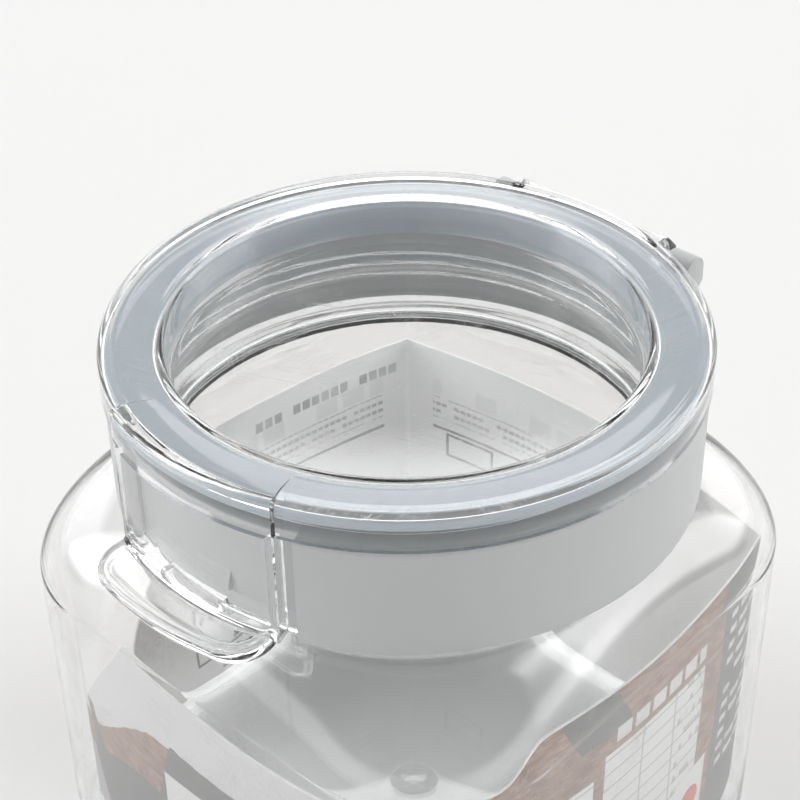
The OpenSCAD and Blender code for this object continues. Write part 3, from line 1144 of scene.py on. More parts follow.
@dataclass
class Jar:
    """The clear square jar with its round neck, thread, stop bead and moulding mark.

    The wall is thin where it meets the neck, so that the bend there shows as a fine line.
    """

    turns: int = 360
    foot_steps: int = 10
    shoulder_steps: int = 40
    thread_out: float = 0.9
    thread_half: float = 1.1
    thread_pitch: float = 4.0
    thread_low: float = 86.5
    thread_turns: float = 1.5
    thread_row: float = 0.25
    thread_from: float = 1.5
    thread_to: float = 1.2
    starts: int = 2
    fillet: float = 0.6
    fillet_rise: float = 0.3
    bend: float = 0.3
    bend_rise: float = 0.9
    bead_foot: float = 0.3
    thin: float = 0.45
    gate_r: float = 4.7
    gate_h: float = 1.1
    base_rings: tuple[float, ...] = (0.25, 0.5, 0.75, 0.95)
    floor_rings: tuple[float, ...] = (0.8, 0.6, 0.4, 0.2)
    gate_rings: tuple[float, ...] = (4.9, 4.7, 4.6, 4.3, 3.8, 3.2, 2.4, 1.6, 0.8, 0.0)
    finish: ClearPlastic = ClearPlastic("clear_jar_plastic")

    def shell(self, turn: Points, inset: float, low: float, foot: float, root: float,
              fillet: float) -> list[tuple[Points, Points]]:
        """Rows of the body from the foot to the neck's fillet.

        Args:
            turn: Directions in degrees.
            inset: Distance inside the outer face.
            low: Height of the flat floor.
            foot: Radius of the foot.
            root: Radius of the neck here.
            fillet: Radius of the bend into the neck.

        Returns:
            Radii and heights, one pair for each row.
        """
        half, corner = SIZE.half - inset, SIZE.corner - inset
        rows = []
        for a in np.linspace(0, math.pi / 2, self.foot_steps + 1):
            back = foot * (1 - math.sin(a))
            rows.append((square_reach(turn, half - back, corner - back), low + foot * (1 - math.cos(a))))
        full = square_reach(turn, half, corner)
        for z in spread(low + foot, SIZE.side_top, 8)[1:-1]:
            rows.append((full, z))
        rise, power = SIZE.shoulder_rise - min(inset, self.thin), 2 / SIZE.fullness
        for a in np.linspace(0, math.pi / 2, self.shoulder_steps + 1)[:-1]:
            share = math.cos(a) ** power
            ring = np.maximum(root + share * (full - root), root + fillet)
            level = 1 - ((ring - root) / (full - root)) ** SIZE.fullness
            rows.append((ring, SIZE.side_top + rise * np.maximum(level, 0) ** (1 / SIZE.fullness)))
        return [(r, z + 0 * turn) for r, z in rows]

    def thread(self, turn: Points, z: float) -> Points:
        """How far the thread stands out at a height.

        Args:
            turn: Directions in degrees.
            z: Height.

        Returns:
            Distances outside the neck.
        """
        out = np.zeros_like(turn)
        for start in range(self.starts):
            for lap in range(math.ceil(self.thread_turns) + 1):
                run = (turn - start * 360 / self.starts) % 360 + 360 * lap
                share = run / 360 / self.thread_turns
                middle = self.thread_low + run / 360 * self.thread_pitch
                fade = np.clip(np.minimum(share, 1 - share) * 30, 0, 1)
                ridge = 0.5 + 0.5 * np.cos(math.pi * np.clip((z - middle) / self.thread_half, -1, 1))
                out = np.maximum(out, self.thread_out * ridge * np.sqrt(fade))
        return out

    def build(self) -> bpy.types.Object:
        """Build the jar as one closed skin.

        Returns:
            The jar.
        """
        turn = np.arange(self.turns) * 360 / self.turns
        flat = 0 * turn
        rows: list[tuple[Points, Points]] = [(flat, flat)]
        shell = self.shell(turn, 0, 0, SIZE.foot, SIZE.neck_out, self.fillet)
        rows += [(shell[0][0] * s, flat) for s in self.base_rings] + shell
        root = SIZE.neck_root
        for a in np.linspace(0, math.pi / 2, 7)[1:]:
            lift = self.fillet_rise * self.fillet * (1 - math.cos(a))
            rows.append((SIZE.neck_out + self.fillet * (1 - math.sin(a)) + flat,
                         np.minimum(shell[-1][1], root) + lift))
        bead = SIZE.bead_h / 2
        middle = SIZE.bead_top - bead
        rows.append((SIZE.neck_out + flat, middle - bead + flat))
        for a in np.linspace(-math.pi / 2, math.pi / 2, 13):
            rows.append((SIZE.bead_r - bead + bead * math.cos(a) + flat, middle + bead * math.sin(a) + flat))
        rows.append((SIZE.neck_out + self.bead_foot + flat, SIZE.bead_top + flat))
        rows.append((SIZE.neck_out + flat, SIZE.bead_top + self.bead_foot + flat))
        for z in spread(SIZE.bead_top + self.thread_from, SIZE.neck_top - self.thread_to, self.thread_row):
            rows.append((SIZE.neck_out + self.thread(turn, z), z + flat))
        lip = (SIZE.neck_out - SIZE.neck_in) / 2
        for a in np.linspace(0, math.pi, 13):
            rows.append((SIZE.neck_in + lip + lip * math.cos(a) + flat,
                         SIZE.neck_top - lip + lip * math.sin(a) + flat))
        bend = self.bend
        inner = self.shell(turn, SIZE.wall, SIZE.floor, SIZE.foot - SIZE.wall, SIZE.neck_in, bend)
        for z in spread(SIZE.neck_top - 2, root + 1, 4):
            rows.append((SIZE.neck_in + flat, z + flat))
        for a in np.linspace(math.pi / 2, 0, 9)[:-1]:
            rows.append((SIZE.neck_in + bend * (1 - math.sin(a)) + flat,
                         inner[-1][1] + bend * (1 - math.cos(a)) * self.bend_rise))
        rows += inner[::-1]
        rows += [(inner[0][0] * s, SIZE.floor + flat) for s in self.floor_rings]
        ball = (self.gate_r ** 2 + self.gate_h ** 2) / (2 * self.gate_h)
        for r in self.gate_rings:
            cap = math.sqrt(ball ** 2 - r ** 2) - ball + self.gate_h
            rows.append((r + flat, SIZE.floor + max(cap, 0) + flat))
        points = np.stack([place(turn, r, z) for r, z in rows], axis=1)
        form = Form()
        form.grid(points, round_rows=True)
        made = form.piece("clear_jar", 40)
        made.data.materials.append(self.finish.make())
        return made


@dataclass
class Lid:
    """The clear lid: sunken window, flange, rim, thumb tab with its lip, and the hinge knuckle."""

    sharp: float = 32
    window_edge: float = 1.2
    well_edge: float = 2.1
    well_row: float = 101.5
    rim_edge: float = 2.2
    low_edge: float = 0.25
    skirt_row: float = 101.0
    flange_row: float = 42.0
    under_row: float = 100.0
    under_edge: float = 2.8
    rib_turn: float = 1.77
    crest_start: float = 39.02
    ramp_start: float = 41.0
    ramp_end: float = 44.8
    ramp_lift: float = 0.32
    skirt_in: float = 45.4
    skirt_edge: float = 46.75
    tab_top: float = 106.46
    tab_edge: float = 1.2
    lip_high: float = 82.16
    lip_fall: float = 0.4
    lip_t: float = 1.5
    lip_corner: float = 6.5
    lip_fillet: float = 0.9
    bead: float = 0.7
    bead_half: float = 1.15
    bead_slope: float = 1.5
    web_in: float = 6.0
    pin_r: float = 1.3
    pin_l: float = 3.4
    finish: ClearPlastic = ClearPlastic("clear_lid_plastic")

    def crest(self, r: float) -> float:
        """Height of the flange's sloping top."""
        share = (r - self.crest_start) / (self.ramp_end - self.crest_start)
        return SIZE.flange_top + share * (SIZE.rim_top - SIZE.flange_top)

    @property
    def lip_middle(self) -> float:
        """Radius where the middles of the lip's round corners lie."""
        return SIZE.lip_r - self.lip_corner

    @property
    def lip_limit(self) -> float:
        """Direction, in degrees from the middle, where the lip's round corners start."""
        return SIZE.tab_turn - math.degrees(math.asin(self.lip_corner / self.lip_middle))

    def lip_reach(self, turn: float) -> float:
        """Radius of the lip's outline in a direction.

        Args:
            turn: Direction in degrees.

        Returns:
            The radius.
        """
        past = math.radians(abs(turn) - self.lip_limit)
        if past <= 0:
            return SIZE.lip_r
        reach = self.lip_corner ** 2 - (self.lip_middle * math.sin(past)) ** 2
        return self.lip_middle * math.cos(past) + math.sqrt(max(reach, 0))

    def edge_distance(self, turn: float, r: float) -> float:
        """Distance from a point of the lip to the lip's outline.

        Args:
            turn: The point's direction in degrees.
            r: The point's radius.

        Returns:
            The distance, and 0 outside the outline.
        """
        past = math.radians(abs(turn) - self.lip_limit)
        if past <= 0:
            return max(SIZE.lip_r - r, 0)
        x, y = r * math.sin(past), r * math.cos(past)
        return max(self.lip_corner - (x if y < self.lip_middle else math.hypot(x, y - self.lip_middle)), 0)

    def lip_plate(self, r: float) -> float:
        """Height of the lip's flat top at a radius."""
        return self.lip_high - self.lip_fall * (r - SIZE.tab_r) / (SIZE.lip_r - SIZE.tab_r)

    def bead_curve(self, edge: float) -> float:
        """Round profile of the bead's outer half.

        Args:
            edge: Distance from the lip's outline.

        Returns:
            Share of the bead's half height there.
        """
        if edge >= self.bead_half:
            return 1.0
        return math.sqrt(max(1 - ((self.bead_half - edge) / self.bead_half) ** 2, 0))

    def lip_rows(self, turn: float) -> tuple[list[Corner], list[Corner]]:
        """Points over and under the lip in one direction.

        Args:
            turn: Direction in degrees.

        Returns:
            The points above, outwards, and the points below, inwards.
        """
        reach = self.lip_reach(turn)
        span = reach - SIZE.tab_r
        root = self.lip_fillet
        over = [(SIZE.tab_r + root * (1 - math.cos(a)), root * (1 - math.sin(a)))
                for a in np.linspace(0, math.pi / 2, 6)]
        shares = [s for s in LIP_SHARES if s < 1 - root / span]
        shares += [1 - root / span] * (len(LIP_SHARES) - len(shares))
        over += [(reach - share * span, 0.0) for share in shares[::-1]]
        tall = self.lip_t + self.bead
        top, low = [], []
        for r, lift in over:
            edge, plate = self.edge_distance(turn, r), self.lip_plate(r)
            if edge < self.bead_half:
                z = plate - self.lip_t + tall * (0.5 + 0.5 * self.bead_curve(edge))
            else:
                past = min((edge - self.bead_half) / self.bead_slope, 1)
                z = plate + self.bead * 0.5 * (1 + math.cos(math.pi * past))
            top.append(Corner(r, z + lift))
        for r, _ in over[::-1]:
            curve = self.bead_curve(self.edge_distance(turn, r))
            low.append(Corner(r, self.lip_plate(r) - self.lip_t + tall * (0.5 - 0.5 * curve)))
        return top, low

    def section(self, turn: float, tab: bool, rib: bool = False, ledge: bool = False) -> Points:
        """The lid's section in one direction, from the middle of the top to the middle below.

        Args:
            turn: Direction in degrees.
            tab: True across the thumb tab.
            rib: True across a rib at the tab's side.
            ledge: True across the tab's ledge.

        Returns:
            Points of radius and height, always the same number.
        """
        low = SIZE.well_floor - SIZE.lid_wall
        outer = SIZE.well_r + SIZE.lid_wall
        corners = [Corner(0, SIZE.well_floor)]
        corners += [Corner(r, SIZE.well_floor) for r in WINDOW_RINGS]
        corners += [Corner(SIZE.well_r, SIZE.well_floor, self.window_edge, 8)]
        corners += [Corner(SIZE.well_r, self.well_row)]
        corners += [Corner(SIZE.well_r, SIZE.flange_top, self.well_edge, 12)]
        corners += [Corner(self.ramp_start, self.crest(self.ramp_start))]
        over, under = self.lip_rows(turn) if tab else ([], [])
        count = len(self.lip_rows(0)[0])
        if tab:
            corners += [Corner(self.ramp_end, self.crest(self.ramp_end) + self.ramp_lift)]
            corners += [Corner(SIZE.tab_r, self.tab_top, self.tab_edge, 12)]
            corners += [Corner(SIZE.tab_r, z) for z in TAB_ROWS]
            corners += over + under
            corners += [Corner(SIZE.tab_r, SIZE.tab_low, 0.5, 5)]
            back = SIZE.ledge_in if rib else SIZE.tab_in
            shelf = SIZE.ledge_in if ledge or rib else SIZE.tab_in
            corners += [Corner(back, SIZE.tab_low), Corner(back, SIZE.ledge_low)]
            corners += [Corner(shelf, SIZE.ledge_low)]
            corners += [Corner(shelf, SIZE.ledge_top), Corner(back, SIZE.ledge_top)]
            corners += [Corner(back, SIZE.lid_low), Corner(back if rib else self.skirt_edge, SIZE.lid_low)]
        else:
            corners += [Corner(self.ramp_end, self.crest(self.ramp_end))]
            corners += [Corner(SIZE.lid_r, SIZE.rim_top, self.rim_edge, 12)]
            corners += [Corner(SIZE.lid_r, z) for z in RIM_ROWS]
            corners += [Corner(SIZE.lid_r, SIZE.lid_low + self.low_edge)] * (2 * count)
            corners += [Corner(SIZE.lid_r, SIZE.lid_low, self.low_edge, 5)]
            corners += [Corner(self.skirt_edge, SIZE.lid_low)] * 7
        corners += [Corner(self.skirt_in, SIZE.lid_low), Corner(self.skirt_in, self.skirt_row)]
        corners += [Corner(self.skirt_in, SIZE.flange_low, 0.3, 3)]
        corners += [Corner(self.flange_row, SIZE.flange_low), Corner(outer, SIZE.flange_low, 0.5, 5)]
        corners += [Corner(outer, self.under_row), Corner(outer, low, self.under_edge, 10)]
        corners += [Corner(r, low) for r in WINDOW_RINGS[::-1]] + [Corner(0, low)]
        return rounded(corners)

    def shell(self) -> Form:
        """Lay the lid out in sectors that share their edges.

        Returns:
            The lid's skin, without the hinge.
        """
        form = Form()
        end, rib, ledge = SIZE.tab_turn, SIZE.tab_turn - self.rib_turn, SIZE.ledge_turn
        middle, corner = self.lip_middle, self.lip_corner
        around = [math.degrees(math.atan2(corner * math.sin(a), middle + corner * math.cos(a)))
                  for a in np.linspace(0, math.pi / 2 + math.asin(corner / middle), 25)]
        stations = sorted({round(self.lip_limit + a, 6) for a in around[:-1]} | {rib, ledge, end})
        side = [t for t in stations if t > ledge - SHORTEST]
        spans = [
            (spread(end, 360 - end, 1.5), dict(tab=False)),
            ([-t for t in side if t >= rib - SHORTEST][::-1], dict(tab=True, rib=True)),
            ([-t for t in side if t <= rib + SHORTEST][::-1], dict(tab=True)),
            (sorted({round(float(t), 6) for t in spread(-ledge, ledge, 0.9)}), dict(tab=True, ledge=True)),
            ([t for t in side if t <= rib + SHORTEST], dict(tab=True)),
            ([t for t in side if t >= rib - SHORTEST], dict(tab=True, rib=True)),
        ]
        first: Points | None = None
        last: Points | None = None
        for turns, kind in spans:
            sections = [self.section(turn, **kind) for turn in turns]
            rows = [place(turn, row[:, 0], row[:, 1]) for turn, row in zip(turns, sections)]
            ids = form.grid(np.stack(rows))
            if last is not None:
                form.seam(last, ids[0])
            first = ids[0] if first is None else first
            last = ids[-1]
        assert first is not None and last is not None
        form.seam(last, first)
        return form

    def knuckle(self) -> bpy.types.Object:
        """Make the web and the barrel of the hinge, up to the rim's outer face.

        Returns:
            The knuckle.
        """
        y, z, r = SIZE.hinge_y, SIZE.hinge_z, SIZE.barrel_r
        outline = arc_points(y, z, r, 180, 360, 20)
        outline += [(y + r - 0.5, z + r - 0.4), (SIZE.lid_r + 0.3, SIZE.flange_top - 0.9),
                    (SIZE.lid_r - 1.1, SIZE.flange_top - 0.2),
                    (SIZE.lid_r - self.web_in, SIZE.flange_top - 0.2),
                    (SIZE.lid_r - self.web_in, z), (y - r, z)]
        made = extruded("knuckle", outline, -SIZE.knuckle_half, SIZE.knuckle_half, 0.3)
        core = [Corner(0, SIZE.lid_low - 6), Corner(SIZE.lid_r - SIZE.lid_wall / 2, SIZE.lid_low - 6),
                Corner(SIZE.lid_r - SIZE.lid_wall / 2, SIZE.rim_top + 4), Corner(0, SIZE.rim_top + 4)]
        cut(made, lathe("core", rounded(core), 360, closed=False), "DIFFERENCE")
        return made

    def pin(self, side: int) -> bpy.types.Object:
        """Make one hinge pin, from inside the barrel to its free end.

        Args:
            side: -1 or 1, the sign of X where it lies.

        Returns:
            The pin.
        """
        low, high = sorted((side * (SIZE.knuckle_half - 1), side * (SIZE.lug_x + self.pin_l)))
        outline = arc_points(SIZE.hinge_y, SIZE.hinge_z, self.pin_r, 0, 348.75, 31)
        return extruded("pin", outline, low, high, 0.25)

    def build(self) -> bpy.types.Object:
        """Build the lid as one closed skin, with its knuckle and pins.

        Returns:
            The lid.
        """
        made = self.shell().piece("clear_lid", self.sharp)
        for part in (self.knuckle(), self.pin(-1), self.pin(1)):
            cut(made, part, "UNION")
        close_slits(made)
        LOG.info("clear_lid has %d open edges", open_edges(made))
        made.data.materials.clear()
        made.data.set_sharp_from_angle(angle=math.radians(self.sharp))
        made.data.materials.append(self.finish.make())
        return made


@dataclass
class Collar:
    """The grey screw collar: skin, deck, sleeve, pocket with its catch, ribs and hinge lugs."""

    round_top: float = 0.8
    foot_edge: float = 0.25
    deck_in: float = 41.06
    deck_crown: float = 43.0
    notch_in: float = 44.4
    notch_low: float = 96.76
    notch_far: float = 60.0
    notch_high: float = 120.0
    pocket_wall: float = 1.2
    pocket_wall_turn: float = 0.79
    overlap: float = 0.2
    ribs: int = 16
    rib_t: float = 1.0
    catch_r: float = 44.6
    catch_low: float = 84.06
    catch_high: float = 85.0
    catch_ramp: float = 3.2
    lug_drop: float = 12.0
    hole_r: float = 1.4
    hole_deep: float = 3.7
    finish: SatinPlastic = SatinPlastic("grey_collar_plastic", (0.49, 0.495, 0.5), (0.465, 0.47, 0.475))

    def skin(self) -> bpy.types.Object:
        """Make the outer skin and the deck, from one side of the pocket to the other.

        Returns:
            The skin.
        """
        inner = SIZE.collar_r - SIZE.skin
        section = rounded([
            Corner(inner, SIZE.collar_low), Corner(SIZE.collar_r, SIZE.collar_low, self.foot_edge, 3),
            Corner(SIZE.collar_r, 86.0), Corner(SIZE.collar_r, 92.0),
            Corner(SIZE.collar_r, SIZE.collar_top, self.round_top, 8),
            Corner(self.deck_crown, SIZE.collar_top),
            Corner(self.deck_in, SIZE.collar_top, 0.2, 2), Corner(self.deck_in, SIZE.deck_low, 0.2, 2),
            Corner(inner, SIZE.deck_low, 0.4, 3),
        ], closed=True)
        made = sector("collar_skin", section, SIZE.pocket_turn, 360 - SIZE.pocket_turn, 1.0)
        outline = [(self.notch_in, self.notch_low), (self.notch_far, self.notch_low),
                   (self.notch_far, self.notch_high), (self.notch_in, self.notch_high)]
        box = extruded("notch", outline, -SIZE.lug_x, SIZE.lug_x, 0.3)
        cut(made, box, "DIFFERENCE")
        return made

    def band(self, name: str, r_in: float, r_out: float, low: float, high: float, turn: float,
             edge: float = 0.2) -> bpy.types.Object:
        """A ring sector in front, between two radii.

        Args:
            name: Name of the object.
            r_in: Inner radius.
            r_out: Outer radius.
            low: Lower height.
            high: Upper height.
            turn: Half its width in degrees.
            edge: Radius of its edges.

        Returns:
            The new object.
        """
        corners = [Corner(r_in, low, edge, 3), Corner(r_out, low, edge, 3),
                   Corner(r_out, high, edge, 3), Corner(r_in, high, edge, 3)]
        return sector(name, rounded(corners, closed=True), -turn, turn, 1.0)

    def wall(self, name: str, turn: float, r_in: float, r_out: float, low: float, high: float,
             t: float) -> bpy.types.Object:
        """An upright wall along a radius.

        Args:
            name: Name of the object.
            turn: Direction in degrees.
            r_in: Inner radius.
            r_out: Outer radius.
            low: Lower height.
            high: Upper height.
            t: Thickness.

        Returns:
            The new object.
        """
        outline = [(-r_out, low), (-r_in, low), (-r_in, high), (-r_out, high)]
        made = extruded(name, outline, -t / 2, t / 2, 0.15, 2)
        made.data.transform(Matrix.Rotation(math.radians(turn), 4, "Z"))
        return made

    def lug(self, side: int) -> bpy.types.Object:
        """Make one hinge lug with its blind hole for the lid's pin.

        Args:
            side: -1 or 1, the sign of X where it lies.

        Returns:
            The lug.
        """
        foot = math.sqrt(SIZE.collar_r ** 2 - SIZE.lug_end ** 2) - SIZE.skin / 2
        y, z, r = SIZE.hinge_y, SIZE.hinge_z, SIZE.barrel_r
        outline = [(foot - 0.4, z - self.lug_drop), (foot, z - self.lug_drop), (y + r, z - r), (y + r, z)]
        outline += arc_points(y, z, r, 0, 180, 16)[1:]
        outline += [(y - r, SIZE.deck_low), (foot - 0.4, SIZE.deck_low)]
        low, high = sorted((side * SIZE.lug_x, side * SIZE.lug_end))
        made = extruded("lug", outline, low, high, 0.35)
        low, high = sorted((side * (SIZE.lug_x - 1), side * (SIZE.lug_x + self.hole_deep)))
        hole = extruded("hole", arc_points(y, z, self.hole_r, 0, 345, 23), low, high, 0.01, 1)
        cut(made, hole, "DIFFERENCE")
        return made

    def build(self) -> bpy.types.Object:
        """Build the collar as one moulded piece.

        Returns:
            The collar.
        """
        end = SIZE.pocket_turn + self.pocket_wall_turn
        root, top = SIZE.sleeve_out - self.overlap, SIZE.deck_low + 0.1
        sleeve = [Corner(SIZE.sleeve_in, SIZE.sleeve_low, 0.2, 2),
                  Corner(SIZE.sleeve_out, SIZE.sleeve_low, 0.2, 2),
                  Corner(SIZE.sleeve_out, top), Corner(SIZE.sleeve_in, top)]
        parts = [self.skin(), lathe("sleeve", rounded(sleeve, closed=True), 240)]
        parts.append(self.band("sleeve_front", SIZE.sleeve_in, SIZE.sleeve_out, SIZE.collar_low,
                               SIZE.sleeve_low + 0.5, SIZE.pocket_turn + 1))
        parts.append(self.band("deck_front", self.deck_in, SIZE.sleeve_out, SIZE.deck_low, SIZE.collar_top,
                               SIZE.pocket_turn + 0.3, 0.3))
        catch = [Corner(root, self.catch_low, 0.1, 2), Corner(self.catch_r, self.catch_low, 0.3, 4),
                 Corner(self.catch_r, self.catch_high, 0.6, 6),
                 Corner(root, self.catch_high + self.catch_ramp, 0.1, 2)]
        parts.append(sector("catch", rounded(catch, closed=True), -SIZE.ledge_turn, SIZE.ledge_turn, 1.0))
        for side in (-1, 1):
            parts.append(self.wall("pocket_side", side * end, root, SIZE.collar_r - 0.15,
                                   SIZE.collar_low + 0.02, top, self.pocket_wall))
            parts.append(self.lug(side))
        notch = math.degrees(math.asin(SIZE.lug_x / SIZE.collar_r))
        for i in range(self.ribs):
            turn = end + (i + 0.5) * (360 - 2 * end) / self.ribs
            if abs(turn - 180) > notch:
                parts.append(self.wall("rib", turn, root, SIZE.collar_r - SIZE.skin + self.overlap,
                                       SIZE.sleeve_low + 2, top, self.rib_t))
        made = joined("screw_collar", parts)
        made.data.set_sharp_from_angle(angle=math.radians(35))
        made.data.materials.append(self.finish.make())
        return made


@dataclass
class Seal:
    """The blue-grey seal: a flat ring under the flange and a sleeve with two lips."""

    t: float = 1.3
    bevel: float = 0.7
    out: float = 39.28
    lip: float = 0.3
    inner: float = 38.58
    low: float = 97.86
    lip_h: float = 1.0
    lip_step: float = 2.2
    gap: float = 0.05
    side_gap: float = 0.06
    finish: SoftRubber = SoftRubber("seal_rubber", (0.4, 0.445, 0.485), (0.44, 0.48, 0.515))

    def build(self) -> bpy.types.Object:
        """Build the seal as one turned ring.

        Returns:
            The seal.
        """
        rim = SIZE.lid_r - SIZE.lid_wall - self.side_gap
        top = SIZE.flange_low - self.gap
        corners = [Corner(self.inner + self.bevel, top, 0.2, 2), Corner(rim - self.bevel, top, 0.3, 3),
                   Corner(rim, top - self.bevel, 0.3, 3), Corner(rim, top - self.t, 0.15, 2),
                   Corner(self.out, top - self.t, 0.3, 3)]
        for i in (1, 0):
            for k in (1, 0, -1):
                stand = self.lip if k == 0 else 0
                height = self.low + self.lip_h + i * self.lip_step + k * self.lip_h / 2
                corners.append(Corner(self.out + stand, height, 0.2, 4))
        corners += [Corner(self.out, self.low, 0.2, 2), Corner(self.inner, self.low, 0.2, 2),
                    Corner(self.inner, top - self.bevel, 0.2, 2)]
        made = lathe("lid_seal", rounded(corners, closed=True), 288)
        made.data.materials.append(self.finish.make())
        return made


@dataclass
class Card:
    """The paper card folded round the jar's inside, with slanted ends on either side of one corner."""

    t: float = 0.4
    front_edge: float = 40.0
    side_edge: float = 41.0
    slant: float = 34.0
    slant_w: float = 20.0
    drop: float = 6.2
    corner_drop: float = 7.0
    turn: float = 2.8
    rise_at: float = 17.5
    rise_w: float = 8.0
    side_slant_w: float = 35.0
    step: float = 1.8
    rows: int = 48
    front_share: float = 0.27
    finish: PrintedCard = PrintedCard("printed_card")

    def path(self) -> tuple[Points, Points, Points]:
        """Lay out the card's course from above.

        Returns:
            Points of the course, the outward direction at each, and the length along it.
        """
        bow, r = SIZE.card_bow, SIZE.card_half + SIZE.card_bow
        reach = math.asin(SIZE.card_fold / r)
        starts = [-math.asin(self.front_edge / r), -reach, -reach, -reach]
        stops = [reach, reach, reach, math.asin(self.side_edge / r)]
        points, normals = [], []
        for side in range(4):
            turn = side * math.pi / 2
            x, y = np.array([math.cos(turn), math.sin(turn)]), np.array([-math.sin(turn), math.cos(turn)])
            for a in spread(starts[side], stops[side], self.step / r):
                out = math.sin(a) * x - math.cos(a) * y
                points.append(out * r + bow * y)
                normals.append(out)
        where, out = np.array(points), np.array(normals)
        keep = [0] + [i for i in range(1, len(where)) if np.linalg.norm(where[i] - where[i - 1]) > 0.01]
        for i in range(1, len(where)):
            if i not in keep:
                mean = out[i] + out[i - 1]
                out[i - 1] = mean / np.linalg.norm(mean)
        where, out = where[keep], out[keep]
        along = np.concatenate([[0], np.cumsum(np.linalg.norm(np.diff(where, axis=0), axis=1))])
        return where, out, along

    def top(self, where: Points, along: Points) -> Points:
        """Height of the card's top edge along it.

        Args:
            where: The card's course from above.
            along: Length along it.

        Returns:
            One height for each point.
        """
        x, y = where[:, 0], where[:, 1]
        front = along < along[-1] * self.front_share
        slant_end = self.slant_w - self.front_edge
        rise = (self.slant - self.drop) * np.clip((slant_end - x) / self.slant_w, 0, 1)
        fall = (self.corner_drop - self.drop) * np.clip((x - slant_end) / (SIZE.card_fold - slant_end), 0, 1)
        low = SIZE.card_top - self.drop - rise - fall
        share = np.clip((y + self.rise_at + self.rise_w) / self.rise_w, 0, 1)
        right = SIZE.card_top - self.corner_drop * (1 - share * share * (3 - 2 * share))
        tall = SIZE.card_top - SIZE.card_low - 1
        cut = tall * np.clip(1 - (y + self.side_edge) / self.side_slant_w, 0, 1)
        left = (x < -SIZE.card_fold + SHORTEST) & (along > along[-1] / 2)
        return np.where(front, low, np.where(left, SIZE.card_top - cut, right))

    def buckle(self, along: Points, z: Points) -> Points:
        """Gentle buckling of the paper, inwards, in millimetres."""
        wave = np.sin(along / 11.0 + z / 23.0) * np.sin(z / 17.0 + 0.6) + 0.6 * np.sin(along / 5.3 - z / 9.0)
        return -0.25 * (1 + 0.5 * wave)

    def build(self) -> bpy.types.Object:
        """Build the card with its map and its printed side.

        Returns:
            The card.
        """
        where, out, along = self.path()
        share = np.linspace(0, 1, self.rows)
        top = self.top(where, along)
        turn = math.radians(-self.turn)
        spin = np.array([[math.cos(turn), math.sin(turn)], [-math.sin(turn), math.cos(turn)]])
        where, out = where @ spin, out @ spin
        z = SIZE.card_low + share[None, :] * (top - SIZE.card_low)[:, None]
        shift = self.buckle(along[:, None], z)
        form = Form()
        sides = []
        for inset in (0.0, self.t):
            level = where[:, None, :] + out[:, None, :] * (shift - inset)[..., None]
            sides.append(np.concatenate([level, z[..., None]], axis=2))
        outer = form.grid(sides[0])
        inner = form.grid(sides[1])
        for edge in (np.s_[0], np.s_[-1], np.s_[:, 0], np.s_[:, -1]):
            a, b = outer[edge], inner[edge]
            for i in range(len(a) - 1):
                form.flat([a[i], a[i + 1], b[i + 1], b[i]])
        made = form.piece("info_card_print", 50)
        self.map(made, where, out, along)
        made.data.materials.append(self.finish.make())
        return made

    def map(self, piece: bpy.types.Object, where: Points, out: Points, along: Points) -> None:
        """Give a map of length and height, and mark the printed side.

        Args:
            piece: The card.
            where: The card's course from above.
            out: Outward direction along it.
            along: Length along it.
        """
        mesh = piece.data
        spots = np.array([v.co for v in mesh.vertices]) / MM
        gap = np.linalg.norm(spots[:, None, :2] - where[None], axis=2)
        nearest = gap.argmin(axis=1)
        layer = mesh.uv_layers.new(name="card")
        for loop in mesh.loops:
            v = loop.vertex_index
            layer.data[loop.index].uv = (along[nearest[v]] / 100, spots[v][2] / 100)
        mark = mesh.attributes.new("printed", "FLOAT", "FACE")
        for face in mesh.polygons:
            middle = np.array(face.center)[:2] / MM
            i = np.linalg.norm(where - middle, axis=1).argmin()
            mark.data[face.index].value = float(np.dot(np.array(face.normal)[:2], out[i]) > 0.3)


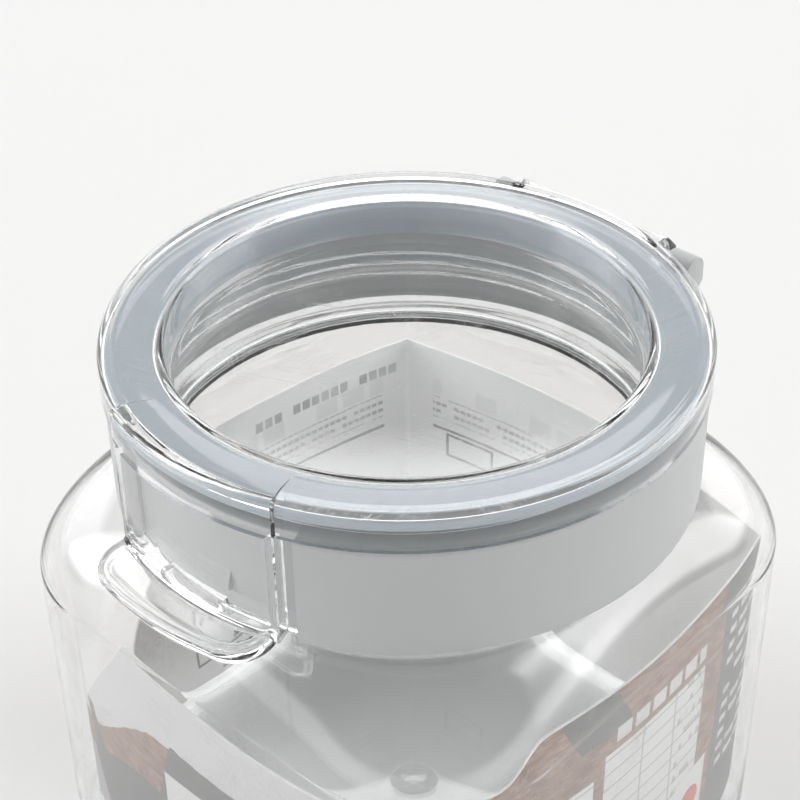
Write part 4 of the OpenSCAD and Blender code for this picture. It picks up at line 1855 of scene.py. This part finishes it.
@dataclass
class Studio:
    """Pale floor, soft surroundings that give all the light, and the camera."""

    eye: tuple[float, float, float] = (159.342, -174.986, 263.809)
    right: tuple[float, float, float] = (0.743107, 0.669015, -0.01438)
    up: tuple[float, float, float] = (-0.386702, 0.446864, 0.80671)
    lens: float = 84.11
    behind: tuple[float, float] = (-0.6763, 0.7361)
    side_turn: tuple[float, float] = (0.12, 0.993)
    light_around: float = 0.24
    light_near: float = 1.0
    light_far: float = 1.45
    light_left: float = 3.0
    light_right: float = 2.8
    light_box: float = 2.8
    floor_low: float = -0.1
    floor_half: float = 3000.0
    floor_pale: Colour = (0.83, 0.83, 0.825)
    floor_dull: Colour = (0.81, 0.805, 0.8)

    def camera(self) -> None:
        """Set the camera."""
        data = bpy.data.cameras.new("camera")
        data.lens = self.lens
        data.sensor_width = 36.0
        data.clip_start, data.clip_end = 0.01, 20.0
        made = bpy.data.objects.new("camera", data)
        x, y = Vector(self.right), Vector(self.up)
        back = x.cross(y)
        basis = Matrix((x, y, back)).transposed().to_4x4()
        made.matrix_world = Matrix.Translation(Vector(self.eye) * MM) @ basis
        bpy.context.scene.collection.objects.link(made)
        bpy.context.scene.camera = made

    def surroundings(self) -> None:
        """Light the scene: a soft box high behind, a tall panel at each side, pale walls far and near."""
        world = bpy.data.worlds.new("studio")
        world.use_nodes = True
        bpy.context.scene.world = world
        kit = NodeKit(world.node_tree)
        x, y, z = kit.parts(kit.out("ShaderNodeTexCoord", output="Generated"))
        back = x * self.behind[0] + y * self.behind[1]
        side = x * self.behind[1] - y * self.behind[0]
        tall = z.ease(0.04, 0.14) * (1 - z.ease(0.78, 0.86))
        level = (1 - z ** 2.0) ** 0.5
        past, out = self.side_turn
        left = ((past * back - out * side) / level).ease(0.92, 0.95) * tall
        right = ((past * back + out * side) / level).ease(0.92, 0.95) * tall
        near = (1 - back.ease(-0.35, 0.15)) * (1 - z.ease(0.3, 0.4)) * (0.2 + 1.3 * abs(side).ease(0.1, 0.7))
        far = back.ease(0.15, 0.6) * (1 - z.ease(0.36, 0.42))
        box = z.ease(0.6, 0.625) * (1 - z.ease(0.93, 0.97)) * (1 - abs(side).ease(0.26, 0.32)) * back.over(0)
        light = self.light_around + self.light_near * near + self.light_far * far
        light = light + self.light_left * left + self.light_right * right + self.light_box * box
        colour = kit.out("ShaderNodeCombineColor", inputs={0: light, 1: light, 2: light})
        surface = kit.out("ShaderNodeBackground", inputs={"Color": colour, "Strength": 1.0})
        kit.node("ShaderNodeOutputWorld", inputs={"Surface": surface})

    def floor(self) -> bpy.types.Object:
        """Lay the pale floor.

        Returns:
            The floor.
        """
        form = Form()
        ends = (-self.floor_half, self.floor_half)
        form.grid(np.array([[[x, y, self.floor_low] for x in ends] for y in ends]))
        made = form.piece("floor")
        material, kit = new_material("pale_floor")
        where = kit.place()
        cloud = kit.noise(where, 3.0, 3.0)
        shade(kit, {
            "Base Color": kit.blend(cloud * 0.2, self.floor_pale, self.floor_dull),
            "Roughness": 0.6 + 0.1 * cloud,
            "IOR": 1.4,
        })
        made.data.materials.append(material)
        return made

    def settings(self) -> None:
        """Set the light paths that clear plastic needs, and plain tones."""
        scene = bpy.context.scene
        scene.view_settings.view_transform = "Standard"
        scene.cycles.max_bounces = 24
        scene.cycles.transmission_bounces = 24
        scene.cycles.glossy_bounces = 12
        scene.cycles.diffuse_bounces = 8
        scene.cycles.transparent_max_bounces = 16
        scene.cycles.sample_clamp_indirect = 6.0
        scene.cycles.use_denoising = True

    def build(self) -> bpy.types.Object:
        """Set the camera, the light and the floor.

        Returns:
            The floor.
        """
        self.camera()
        self.surroundings()
        self.settings()
        return self.floor()


def main() -> None:
    """Build the canister in its studio."""
    logging.basicConfig(level=logging.INFO, format="%(message)s")
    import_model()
    floor = Studio().build()
    plan = [
        (Jar().build, Body.JAR, "jar", "clear_plastic"),
        (Card().build, Body.JAR, "info_card", "card_paper"),
        (Collar().build, Body.COLLAR, "collar", "grey_plastic"),
        (Lid().build, Body.LID, "lid", "clear_lid_plastic"),
        (Seal().build, Body.LID, "seal", "seal_rubber"),
    ]
    for build, body, node, slot in plan:
        piece = build()
        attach(piece, body.value)
        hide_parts(node)
        LOG.info("%s on %s: %d faces", piece.name, body.value, len(piece.data.polygons))


if __name__ == "__main__":
    main()
